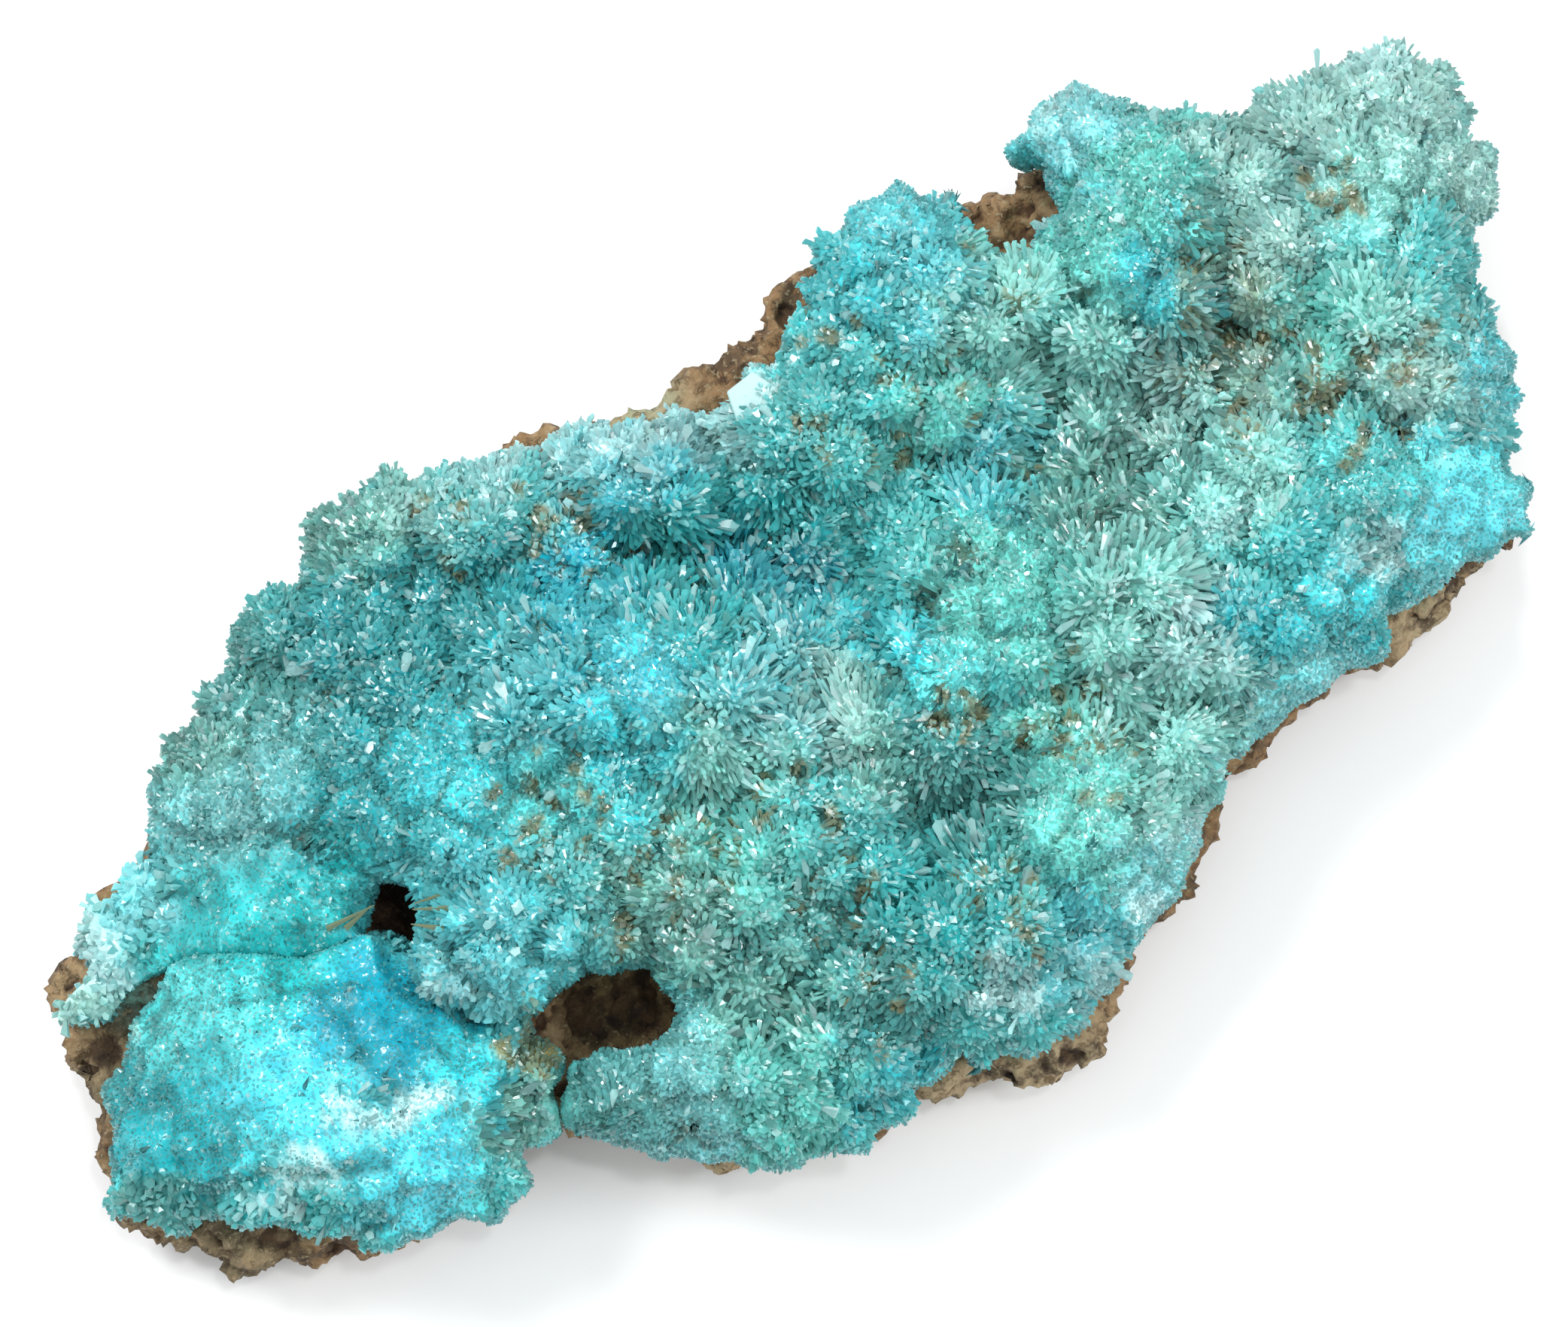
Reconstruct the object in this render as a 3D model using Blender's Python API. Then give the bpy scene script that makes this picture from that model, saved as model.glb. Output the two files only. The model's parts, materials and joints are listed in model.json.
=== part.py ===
"""A hand specimen of blue aragonite: a crust of radiating crystals on its brown rock.

It lies on the broken back of the rock with the crystals up. X runs along its length, Z is up,
and the origin is under its middle, on the surface that it lies on. Lengths are in millimetres
until a mesh is made.
"""

import math
import random

import bmesh
import bpy
import numpy as np
from mathutils import Vector, noise
from mathutils.geometry import delaunay_2d_cdt

MM = 0.001
TOUCHING_GAP = 0.3

# Points below are (across, up) as seen by an eye that looks down on the specimen, at full size.
SEEN_TURN = math.radians(-37.0)
SEEN_ELEVATION = math.radians(78.0)
EYE_DISTANCE = 300.0
VIEW_MIDDLE = (41.68, 35.28)
VIEW_AIM = Vector((-1.445, 2.288, 10.0))

# Heights above the surface that it lies on.
CONTACT_LEVEL = 7.5
CONTACT_WAVE = 0.5
CONTACT_WAVE_LENGTH = 17.0
CONTACT_SLICE = 3.7
CRUST_FLOOR = 10.5
CRUST_RIM = 2.3
RIM_ROUNDING = 4.5
SEAM_DROP = 1.6
SEAM_ROUNDING = 1.8
DOME_FALL = 0.5
DOME_BLEND = 5.0
SLOPE_STEP = 0.4

# The crystals are pyramids on a honeycomb, and lean out from the lumps that they grow on.
# Margins and jitters are shares of the spacing that they go with.
CRYSTAL_SPACING = 1.11
CRYSTAL_MARGIN = 0.55
CRYSTAL_JITTER = 0.21
CRYSTAL_RISE = (0.9, 2.0)
LONGEST_LEAN = 0.62
HOLLOW_DEPTH = 0.25
RIM_STEP = 1.35
RIM_REACH = (-0.25, 0.45)
RIM_REACH_SPREAD = (0.6, 1.3)
RIM_RAISE = 0.7
LEAST_WALL = 0.8
BELLY = 0.35
BELLY_SPREAD = (0.3, 1.4)
BELLY_HEIGHT = (0.45, 0.65)
UNDERCUT = 0.8
UNDERSIDE_SPACING = 3.6
UNDERSIDE_MARGIN = 0.4

# An inset gives way where it would come nearer to the far side of a narrow neck than this share.
INSET_CLEARANCE = 0.85
INSET_TRIES = 4

# The rock's sides: height, how far in, and how far its bends are eased, from the top down.
ROCK_RINGS = ((6.0, 0.1, 1), (4.4, -0.2, 2), (2.4, 0.7, 5))
ROCK_SOLE = (1.0, 1.8, 16)
ROCK_CHIPS = (0.65, 0.5)
ROCK_SWELL = 0.8
ROCK_SWELL_LENGTH = (6.0, 4.0)
ROCK_SPACING = 2.35
ROCK_BACK_SPACING = 3.5
ROCK_MARGIN = 0.5
ROCK_JITTER = 0.2
ROCK_RIM_STEP = 2.1
ROCK_RIM_CHAMFER = 0.5
LEDGE_ROUGHNESS = 0.7
LEDGE_GAIN = 2.0
LEDGE_SINK = 0.6
LEDGE_LENGTH = 2.6
LEDGE_SLICE = 9.0
LEDGE_FADE = 1.5
HOLLOW_LEVEL = 6.0
SOLE_CHIPS = 0.3
BACK_RISE = (0.3, 1.3)
RESTING_PATCH = (30.0, 8.5)

CRUST_SEED = 11
LOBE_SEED = 12
ROCK_SEED = 13

# Lumps: across, up, radius and the height of their tops.
LOBE_LUMPS = (
    (16.7, 13.0, 9.4, 15.6),
    (12.5, 17.2, 5.4, 14.6),
    (21.7, 8.9, 5.6, 14.6),
    (8.3, 10.1, 3.7, 12.6),
    (25.5, 12.0, 4.4, 13.2),
)
CRUST_LUMPS = (
    (13.8, 21.8, 4.6, 13.8),
    (12.5, 28.5, 5.0, 15.2),
    (6.2, 20.6, 3.6, 10.6),
    (23.3, 29.3, 5.4, 17.0),
    (20.8, 33.0, 3.7, 15.6),
    (28.3, 33.9, 3.5, 16.6),
    (33.3, 34.3, 4.2, 18.2),
    (26.7, 21.8, 5.4, 16.2),
    (32.5, 26.5, 4.6, 15.6),
    (36.5, 21.5, 4.0, 14.9),
    (40.0, 23.9, 4.6, 15.4),
    (43.8, 26.4, 4.4, 15.8),
    (39.6, 33.9, 3.7, 16.8),
    (45.8, 31.0, 4.0, 15.8),
    (17.5, 36.5, 3.5, 13.8),
    (13.8, 37.6, 4.2, 13.2),
    (18.8, 43.0, 3.3, 13.6),
    (25.8, 43.9, 4.2, 14.2),
    (34.2, 46.4, 3.7, 14.8),
    (39.8, 49.2, 2.6, 14.2),
    (36.7, 13.0, 6.2, 15.2),
    (32.5, 12.2, 3.0, 13.2),
    (41.7, 12.2, 4.5, 14.2),
    (47.1, 17.6, 4.2, 15.0),
    (51.3, 20.5, 5.0, 15.9),
    (54.2, 18.0, 3.0, 14.2),
    (57.9, 27.6, 5.4, 16.4),
    (61.7, 28.9, 3.5, 15.0),
    (50.0, 33.5, 4.0, 15.8),
    (53.8, 38.9, 4.6, 17.2),
    (60.4, 39.3, 3.5, 17.4),
    (63.5, 36.8, 3.0, 16.2),
    (66.7, 35.5, 3.5, 14.8),
    (70.6, 39.1, 3.9, 15.9),
    (66.7, 45.6, 4.2, 16.0),
    (72.5, 45.6, 4.2, 16.4),
    (78.4, 43.5, 3.4, 14.0),
    (43.8, 48.0, 3.2, 14.8),
    (50.0, 49.7, 3.2, 14.4),
    (47.1, 51.8, 4.2, 15.4),
    (47.9, 56.0, 5.0, 16.4),
    (47.5, 59.2, 2.6, 14.8),
    (53.4, 56.0, 2.8, 15.2),
    (59.6, 59.7, 5.0, 17.4),
    (57.1, 63.4, 2.9, 17.0),
    (61.5, 55.7, 3.6, 16.2),
    (62.9, 62.2, 3.0, 15.6),
    (68.4, 56.8, 3.2, 15.8),
    (70.0, 59.7, 2.8, 14.8),
    (70.9, 64.6, 3.3, 15.0),
    (74.6, 65.6, 3.0, 14.4),
    (73.8, 61.8, 3.6, 16.6),
    (77.6, 61.4, 2.6, 13.8),
    (75.9, 56.8, 3.2, 15.2),
    (73.2, 54.0, 3.4, 16.8),
    (70.9, 50.6, 3.4, 15.6),
    (76.3, 50.6, 3.2, 15.0),
)

# The crust's outer edge, anticlockwise. It is seen at its foot below and at its top above.
FOOT_LEVEL = 9.0
TOP_LEVEL = 11.5
CRUST_LOWER_EDGE = (
    (31.2, 10.2), (33.5, 9.5), (36.5, 8.9), (40.0, 8.3), (42.0, 8.1), (43.2, 8.9),
    (44.5, 9.4), (46.0, 9.5), (46.8, 10.5), (48.0, 11.3), (49.0, 12.2), (50.0, 13.8),
    (51.2, 14.8), (52.2, 14.3), (53.4, 14.2), (55.0, 14.9), (57.0, 16.0), (57.8, 17.0),
    (59.0, 18.3), (60.2, 20.0), (61.5, 21.5), (62.8, 22.9), (63.4, 24.2), (63.9, 26.5),
    (64.6, 28.0), (65.0, 29.5), (66.5, 31.3), (67.5, 32.0), (69.0, 32.7), (70.3, 33.9),
    (71.5, 34.8), (73.0, 36.0), (73.6, 37.5), (74.4, 38.2), (76.0, 38.7), (77.2, 40.0),
    (79.0, 41.0), (81.2, 42.2),
)
CRUST_RIGHT_EDGE = (
    (81.5, 43.5), (81.3, 45.0), (80.5, 45.8), (80.2, 47.4), (80.5, 49.0), (80.9, 51.0),
    (80.0, 53.0), (79.2, 54.6), (78.7, 56.0), (78.2, 57.0), (78.7, 58.6), (79.6, 60.0),
    (79.9, 61.5), (79.2, 63.0), (78.1, 63.9), (78.0, 65.0), (78.2, 66.0), (77.3, 66.8),
)
CRUST_UPPER_EDGE = (
    (76.2, 67.5), (74.5, 67.7), (73.0, 68.0), (71.0, 67.4), (70.0, 66.5), (68.7, 66.2),
    (67.4, 65.9), (66.3, 64.9), (65.3, 64.3), (63.2, 64.3), (61.6, 64.9), (60.1, 64.8),
    (59.2, 65.6), (57.6, 66.1), (56.3, 66.0), (55.4, 64.6), (54.0, 63.5), (53.9, 62.9),
    (55.2, 61.8), (56.1, 60.6), (56.5, 59.5), (55.7, 58.5), (54.8, 57.2), (53.5, 56.6),
    (52.5, 56.7), (51.4, 57.9), (50.5, 59.2), (50.8, 60.2), (49.5, 60.2), (47.8, 60.9),
    (46.5, 60.1), (45.2, 59.0), (43.8, 57.4), (43.2, 54.8), (42.0, 53.5), (41.2, 51.3),
    (39.9, 51.0), (38.9, 49.5), (38.2, 48.5), (36.0, 48.4), (34.0, 48.1), (32.0, 48.0),
    (29.0, 47.0), (26.0, 46.2), (24.0, 46.0), (22.0, 45.8), (20.5, 45.6), (18.7, 44.5),
    (17.0, 43.4), (16.0, 42.4), (15.9, 40.2), (14.5, 39.5), (13.0, 38.7), (12.2, 37.0),
    (12.0, 35.4), (10.8, 34.0), (10.2, 32.3), (9.0, 31.0),
)
CRUST_LEFT_EDGE = (
    (8.3, 29.5), (8.0, 27.5), (8.2, 25.2), (7.2, 24.2), (6.0, 23.0), (5.0, 22.2),
    (4.2, 21.4), (4.3, 20.2), (4.8, 19.0), (4.5, 17.9), (3.0, 17.4), (3.2, 16.4),
    (4.6, 15.8), (5.9, 16.6), (7.1, 18.1),
)
# Along these the crust meets its broken-off lobe, the small hole and the open notch.
CRUST_SEAM = (
    (8.5, 18.8), (10.0, 19.9), (13.0, 20.0), (16.0, 19.8), (18.6, 21.0), (19.8, 21.9),
)
HOLE_EDGE = (
    (20.0, 23.0), (20.7, 23.8), (21.6, 23.9), (22.3, 23.2), (22.4, 22.0), (22.3, 20.6),
)
TROUGH_EDGE = ((23.5, 17.6), (25.9, 16.7), (27.9, 17.1))
NOTCH_EDGE = (
    (29.8, 18.0), (31.2, 18.7), (32.6, 19.0), (34.0, 19.6), (34.4, 18.6), (35.2, 17.8),
    (36.2, 17.4), (36.2, 16.4), (35.2, 15.7), (34.6, 14.8), (33.2, 14.5), (31.6, 14.6),
    (30.5, 14.2),
)
CRACK_EDGE = ((30.2, 12.6), (29.9, 11.5), (30.3, 10.8))
LOBE_OUTER_EDGE = (
    (7.5, 17.0), (7.2, 15.5), (6.4, 14.0), (5.8, 12.5), (5.9, 10.5), (6.1, 9.0),
    (6.0, 7.6), (6.1, 6.4), (7.5, 5.5), (9.2, 5.0), (11.0, 5.7), (13.0, 5.4),
    (15.0, 5.0), (17.0, 4.6), (19.0, 4.4), (21.2, 4.1), (22.8, 4.7), (24.5, 5.4),
    (26.0, 5.7), (27.2, 6.5), (27.7, 7.6), (27.4, 9.0), (28.5, 9.5),
)
LOBE_CRACK_EDGE = ((29.5, 10.4), (29.4, 11.5), (29.7, 12.6), (29.9, 14.0), (29.0, 15.4))
LOBE_SEAM = (
    (28.2, 16.7), (26.0, 16.3), (23.3, 17.1), (21.8, 19.8), (20.9, 20.9), (20.0, 21.4),
    (18.7, 20.6), (16.0, 19.4), (13.0, 19.6), (10.1, 19.5), (8.6, 18.3),
)

# The rock's outer edge, anticlockwise, with the ledges that the crust leaves bare.
ROCK_LOWER_EDGE = (
    (3.4, 15.4), (3.4, 14.0), (4.6, 13.1), (5.7, 12.2), (5.8, 10.4), (5.4, 8.6),
    (5.4, 7.0), (6.1, 5.4), (8.0, 4.5), (10.0, 3.1), (12.4, 2.6), (14.4, 2.7),
    (16.4, 3.5), (18.4, 3.3), (20.4, 3.9), (22.6, 5.0), (24.6, 6.2), (26.0, 7.8),
    (27.2, 10.0), (29.2, 11.2), (31.2, 10.9), (33.2, 9.9), (36.0, 8.6), (38.0, 7.8),
    (40.6, 8.1), (43.0, 9.7), (46.4, 10.6), (48.8, 12.3), (51.6, 13.3), (54.0, 12.5),
    (56.6, 12.5), (58.2, 13.9), (59.2, 16.3), (59.8, 18.8), (61.6, 21.4), (63.2, 22.8),
    (63.5, 24.6), (63.9, 26.6), (65.0, 28.8), (67.2, 30.7), (69.4, 32.5), (71.4, 34.5),
    (73.6, 35.1), (76.0, 36.9), (77.8, 38.2), (79.0, 40.0), (80.4, 41.6),
)
ROCK_UPPER_EDGE = (
    (80.4, 43.4), (79.6, 45.4), (79.2, 47.6), (79.6, 50.0), (79.0, 52.4), (77.9, 54.8),
    (77.2, 57.0), (77.8, 59.4), (78.6, 61.4), (77.2, 63.2), (77.0, 65.4), (75.2, 66.4),
    (72.8, 66.6), (70.4, 65.4), (67.6, 64.8), (65.4, 63.2), (62.6, 63.6), (60.0, 63.8),
    (57.6, 64.8), (55.6, 63.6), (54.2, 62.2), (53.8, 61.1), (51.9, 60.7), (50.4, 59.6),
    (48.0, 59.6), (45.6, 58.2), (43.4, 57.3), (41.6, 55.9), (40.1, 54.8), (39.9, 52.8),
    (38.4, 51.5), (36.3, 50.6), (34.6, 49.3), (32.2, 49.2), (29.8, 48.3), (27.0, 47.4),
    (24.2, 46.2), (21.4, 44.8), (18.8, 43.4), (16.9, 41.4), (16.4, 39.2), (14.2, 37.8),
    (13.0, 35.6), (12.0, 33.2), (10.2, 31.0), (9.0, 28.8), (8.4, 26.4), (7.3, 25.2),
    (6.2, 23.0), (4.6, 21.6), (4.4, 20.2), (2.6, 19.2), (2.4, 18.2), (3.6, 17.4),
)
# Where the rock is bare inside the crust it lies deeper: across, up, radius and depth.
BARE_HOLLOWS = (
    (32.6, 16.8, 4.2, 1.9),
    (21.2, 22.4, 2.2, 2.4),
    (53.4, 59.0, 3.4, 1.2),
)


def eye_axes():
    """Returns the view's right, up and backward directions."""
    right = Vector((math.cos(SEEN_TURN), math.sin(SEEN_TURN), 0.0))
    back = Vector(
        (
            math.sin(SEEN_TURN) * math.cos(SEEN_ELEVATION),
            -math.cos(SEEN_TURN) * math.cos(SEEN_ELEVATION),
            math.sin(SEEN_ELEVATION),
        )
    )
    return right, back.cross(right), back


def seen_at(across, up, level):
    """Returns the (x, y) where the line of sight through a point of the view meets a height."""
    right, above, back = eye_axes()
    eye = VIEW_AIM + back * EYE_DISTANCE
    ray = right * (across - VIEW_MIDDLE[0]) + above * (up - VIEW_MIDDLE[1]) - back * EYE_DISTANCE
    return (eye + ray * ((level - eye.z) / ray.z)).to_2d()


def traced(points, level):
    """Returns where a line of the view runs at a height."""
    return [seen_at(across, up, level) for across, up in points]


def placed_lumps(lumps):
    """Returns rows of x, y, radius and top."""
    return np.array([(*seen_at(across, up, top), radius, top) for across, up, radius, top in lumps])


def resampled(line, step, closed=False):
    """Returns points about a step apart along a line."""
    ends = line + line[:1] if closed else line
    points = []
    for start, end in zip(ends, ends[1:]):
        pieces = max(1, round((end - start).length / step))
        points += [start.lerp(end, k / pieces) for k in range(pieces)]
    return points if closed else points + [ends[-1]]


def edge_distance(points, line, closed=False):
    """Returns each point's distance from a line, in an array."""
    ends = np.array(line + line[:1] if closed else line)
    start, along = ends[:-1], np.diff(ends, axis=0)
    offset = np.asarray(points)[:, None] - start
    share = (offset * along).sum(2) / np.maximum((along**2).sum(1), 1e-9)
    nearest = offset - np.clip(share, 0.0, 1.0)[..., None] * along
    return np.sqrt((nearest**2).sum(2)).min(1)


def is_inside(points, loop):
    """Returns which points lie inside a closed line."""
    x, y = np.asarray(points).T
    found = np.zeros(len(x), bool)
    for start, end in zip(loop, loop[1:] + loop[:1]):
        crosses = (start.y > y) != (end.y > y)
        rise = end.y - start.y if end.y != start.y else 1e-9
        found ^= crosses & (x < start.x + (end.x - start.x) * (y - start.y) / rise)
    return found


def outward(loop):
    """Returns the outward direction at each point of an anticlockwise closed line."""
    directions = []
    for before, after in zip(loop[-1:] + loop[:-1], loop[1:] + loop[:1]):
        along = (after - before).normalized()
        directions.append(Vector((along.y, -along.x)))
    return directions


def inset(loop, pushes, depth):
    """Returns the loop moved inwards, less far where it is narrow or turns sharply."""
    moved = []
    for point, push in zip(loop, pushes):
        reach = depth
        for _ in range(INSET_TRIES):
            place = tuple(point - push * reach)
            if edge_distance([place], loop, closed=True)[0] > INSET_CLEARANCE * reach:
                break
            reach /= 2.0
        moved.append(point - push * reach)
    return moved


def smoothed(loop, passes):
    """Returns a closed line with its bends eased out."""
    for _ in range(passes):
        loop = [
            before * 0.25 + point * 0.5 + after * 0.25
            for before, point, after in zip(loop[-1:] + loop[:-1], loop, loop[1:] + loop[:1])
        ]
    return loop


def honeycomb(loop, spacing, margin, jitter, rng):
    """Returns the points of a triangular lattice inside a loop, and which of them are tips.

    Every third point is a tip, so that each tip has a ring of six lower points round it.
    """
    low = np.min(np.array(loop), axis=0)
    high = np.max(np.array(loop), axis=0)
    row_height = spacing * math.sqrt(3.0) / 2.0
    points = []
    tips = []
    for row in range(int((high[1] - low[1]) / row_height) + 2):
        first = -(row // 2) - 1
        for column in range(first, first + int((high[0] - low[0]) / spacing) + 4):
            away = rng.uniform(0.0, jitter * spacing)
            turn = rng.uniform(0.0, math.tau)
            x = low[0] + spacing * (column + row / 2.0) + away * math.cos(turn)
            y = low[1] + row_height * row + away * math.sin(turn)
            points.append((x, y))
            tips.append((column - row) % 3 == 0)
    kept = is_inside(points, loop) & (edge_distance(points, loop, closed=True) > margin)
    return [Vector(points[k]) for k in np.flatnonzero(kept)], [tips[k] for k in np.flatnonzero(kept)]


def triangulated(rim, inner):
    """Returns the triangles that fill a rim and use the inner points, as indices of both in order."""
    points = rim + inner
    corners = list(range(len(rim)))
    made, _, faces, sources, _, _ = delaunay_2d_cdt(points, [], [corners], 1, 1e-6)
    if len(made) != len(points):
        raise ValueError(f"the rim crosses itself: {len(points)} points became {len(made)}")
    order = [source[0] for source in sources]
    return [[order[corner] for corner in face] for face in faces]


def contact_height(x, y):
    """The height of the joint between the rock and the crust."""
    wave = noise.noise(Vector((x / CONTACT_WAVE_LENGTH, y / CONTACT_WAVE_LENGTH, CONTACT_SLICE)))
    return CONTACT_LEVEL + CONTACT_WAVE * 2.0 * wave


class Relief:
    """The height of the crust between its crystals."""

    def __init__(self, lumps, free_edge, seams):
        self.lumps = placed_lumps(lumps)
        self.free_edge = free_edge
        self.seams = seams

    def heights(self, points):
        """Returns the height at each point of the plan."""
        points = np.asarray(points)
        x, y, radius, top = self.lumps.T
        away = np.hypot(points[:, :1] - x, points[:, 1:] - y)
        domes = np.maximum(top - DOME_FALL * away**2 / radius - CRUST_FLOOR, 0.0)
        swell = (domes**DOME_BLEND).sum(1) ** (1.0 / DOME_BLEND)
        ground = np.array([contact_height(*point) for point in points])
        height = CRUST_FLOOR + swell + (ground - CONTACT_LEVEL)
        near = np.clip(edge_distance(points, self.free_edge) / RIM_ROUNDING, 0.0, 1.0)
        rim = ground + CRUST_RIM
        height = rim + (height - rim) * np.sqrt(1.0 - (1.0 - near) ** 2)
        for seam in self.seams:
            near = np.clip(edge_distance(points, seam) / SEAM_ROUNDING, 0.0, 1.0)
            height = height - SEAM_DROP * (1.0 - near) ** 2
        return height

    def slopes(self, points):
        """Returns the downhill direction at each point, as long as the slope is steep."""
        points = np.asarray(points)
        across = (SLOPE_STEP, 0.0)
        up = (0.0, SLOPE_STEP)
        rises = [self.heights(points + step) - self.heights(points - step) for step in (across, up)]
        return -np.stack(rises, axis=1) / (2.0 * SLOPE_STEP)


def lofted(name, rings, top_faces, bottom_faces, inner_top, inner_bottom):
    """Makes a closed mesh object from rings of points, top first, with both ends filled in."""
    bm = bmesh.new()
    made = [[bm.verts.new(point * MM) for point in ring] for ring in rings]
    top = made[0] + [bm.verts.new(point * MM) for point in inner_top]
    bottom = made[-1] + [bm.verts.new(point * MM) for point in inner_bottom]
    for face in top_faces:
        bm.faces.new([top[corner] for corner in face])
    for face in bottom_faces:
        bm.faces.new([bottom[corner] for corner in reversed(face)])
    for upper, lower in zip(made, made[1:]):
        for k in range(len(upper)):
            after = (k + 1) % len(upper)
            bm.faces.new((upper[k], lower[k], lower[after], upper[after]))
    bmesh.ops.recalc_face_normals(bm, faces=bm.faces[:])
    bmesh.ops.triangulate(bm, faces=bm.faces[:])
    mesh = bpy.data.meshes.new(name)
    bm.to_mesh(mesh)
    bm.free()
    return bpy.data.objects.new(name, mesh)


def crust_solid(name, lumps, free_edge, inner_edges, seed):
    """Makes one piece of the crust: crystals above, and the joint with the rock below."""
    rng = random.Random(seed)
    free = resampled(free_edge, RIM_STEP)
    fixed = []
    for line in inner_edges:
        fixed += line
    fixed = resampled(fixed, RIM_STEP)
    relief = Relief(lumps, free, [fixed])
    loop = free + fixed
    pushes = outward(loop)
    rim = []
    for k, (point, push) in enumerate(zip(loop, pushes)):
        reach = 0.0
        if 0 < k < len(free) - 1:
            reach = RIM_REACH[k % 2] * rng.uniform(*RIM_REACH_SPREAD)
        rim.append(point + push * reach)
    margin = CRYSTAL_SPACING * CRYSTAL_MARGIN
    inner, tips = honeycomb(rim, CRYSTAL_SPACING, margin, CRYSTAL_JITTER, rng)
    heights = relief.heights([tuple(point) for point in inner])
    slopes = relief.slopes([tuple(point) for point in inner])
    grown = []
    for point, is_tip, height, slope in zip(inner, tips, heights, slopes):
        if not is_tip:
            grown.append(Vector((*point, height - HOLLOW_DEPTH * rng.random())))
            continue
        length = rng.uniform(*CRYSTAL_RISE)
        lean = Vector((*slope, 1.0)).normalized() * length
        sideways = Vector((lean.x, lean.y))
        if sideways.length > LONGEST_LEAN:
            sideways.length = LONGEST_LEAN
        grown.append(Vector((point.x + sideways.x, point.y + sideways.y, height + lean.z)))
    rim_heights = relief.heights([tuple(point) for point in rim])
    lowest = [contact_height(*point) + TOUCHING_GAP for point in rim]
    rim_top = []
    for k, (point, height, low) in enumerate(zip(rim, rim_heights, lowest)):
        raised = RIM_RAISE * rng.random() if k % 2 else 0.0
        rim_top.append(Vector((*point, max(height + raised, low + LEAST_WALL))))
    foot = inset(rim, outward(rim), UNDERCUT)
    foot_ring = [Vector((*point, contact_height(*point) + TOUCHING_GAP)) for point in foot]
    belly = []
    for k, (upper, lower, push) in enumerate(zip(rim_top, foot_ring, pushes)):
        middle = upper.lerp(lower, rng.uniform(*BELLY_HEIGHT))
        if 0 < k < len(free) - 1:
            middle += push.to_3d() * BELLY * rng.uniform(*BELLY_SPREAD)
        belly.append(middle)
    margin = UNDERSIDE_SPACING * UNDERSIDE_MARGIN
    below, _ = honeycomb(foot, UNDERSIDE_SPACING, margin, 0.0, rng)
    underside = [Vector((*point, contact_height(*point) + TOUCHING_GAP)) for point in below]
    return lofted(
        name,
        [rim_top, belly, foot_ring],
        triangulated(rim, inner),
        triangulated(foot, below),
        grown,
        underside,
    )


def rock_solid(name, covers, seed):
    """Makes the rock: a broken slab with bare ledges and a flat patch to lie on."""
    rng = random.Random(seed)
    outline = traced(ROCK_LOWER_EDGE, 4.5) + traced(ROCK_UPPER_EDGE, CONTACT_LEVEL)
    loop = resampled(outline, ROCK_RIM_STEP, closed=True)
    hollows = [
        (seen_at(across, up, HOLLOW_LEVEL), radius, depth)
        for across, up, radius, depth in BARE_HOLLOWS
    ]

    def top_height(point):
        """The height of the rock, rough where it is bare and dented in its hollows."""
        height = contact_height(*point)
        pair = [tuple(point)]
        bare = not any(is_inside(pair, cover)[0] for cover in covers)
        clear = min(edge_distance(pair, cover, closed=True)[0] for cover in covers)
        if bare:
            place = Vector((point.x / LEDGE_LENGTH, point.y / LEDGE_LENGTH, LEDGE_SLICE))
            rough = noise.noise(place) * LEDGE_GAIN - LEDGE_SINK
            height += LEDGE_ROUGHNESS * rough * min(1.0, clear / LEDGE_FADE)
        for centre, radius, depth in hollows:
            near = 1.0 - (point - centre).length / radius
            height -= depth * math.sqrt(max(0.0, near))
        return height

    def ring(level, depth, passes):
        """One level of the rock's sides, chipped and swollen."""
        line = smoothed(loop, passes)
        length, height = ROCK_SWELL_LENGTH
        points = []
        for point, push in zip(inset(line, outward(line), depth), outward(line)):
            wave = noise.noise(Vector((point.x / length, point.y / length, level / height)))
            swell = ROCK_SWELL * wave
            place = point + push * (swell + rng.uniform(-1.0, 1.0) * ROCK_CHIPS[0])
            points.append(Vector((*place, level + rng.uniform(-1.0, 1.0) * ROCK_CHIPS[1])))
        return points

    rim = inset(loop, outward(loop), ROCK_RIM_CHAMFER)
    rim_top = [Vector((*point, top_height(point) - ROCK_RIM_CHAMFER)) for point in rim]
    inner, _ = honeycomb(rim, ROCK_SPACING, ROCK_SPACING * ROCK_MARGIN, ROCK_JITTER, rng)
    above = [Vector((*point, top_height(point))) for point in inner]
    sides = [ring(*sizes) for sizes in ROCK_RINGS]
    level, depth, passes = ROCK_SOLE
    eased = smoothed(loop, passes)
    sole_plan = inset(eased, outward(eased), depth)
    sole = [Vector((*point, level + rng.uniform(-SOLE_CHIPS, SOLE_CHIPS))) for point in sole_plan]
    margin = ROCK_BACK_SPACING * ROCK_MARGIN
    under, _ = honeycomb(sole_plan, ROCK_BACK_SPACING, margin, ROCK_JITTER, rng)
    back = []
    for point in under:
        far = max(abs(point.x) / RESTING_PATCH[0], abs(point.y) / RESTING_PATCH[1])
        back.append(Vector((*point, 0.0 if far < 1.0 else rng.uniform(*BACK_RISE))))
    return lofted(
        name,
        [rim_top, *sides, sole],
        triangulated(rim, inner),
        triangulated(sole_plan, under),
        above,
        back,
    )


def plain_material(name, colour, roughness):
    """Makes a finish of one colour."""
    material = bpy.data.materials.new(name)
    material.use_nodes = True
    shader = material.node_tree.nodes["Principled BSDF"]
    shader.inputs["Base Color"].default_value = (*colour, 1.0)
    shader.inputs["Roughness"].default_value = roughness
    shader.inputs["Metallic"].default_value = 0.0
    material.diffuse_color = (*colour, 1.0)
    return material


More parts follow.
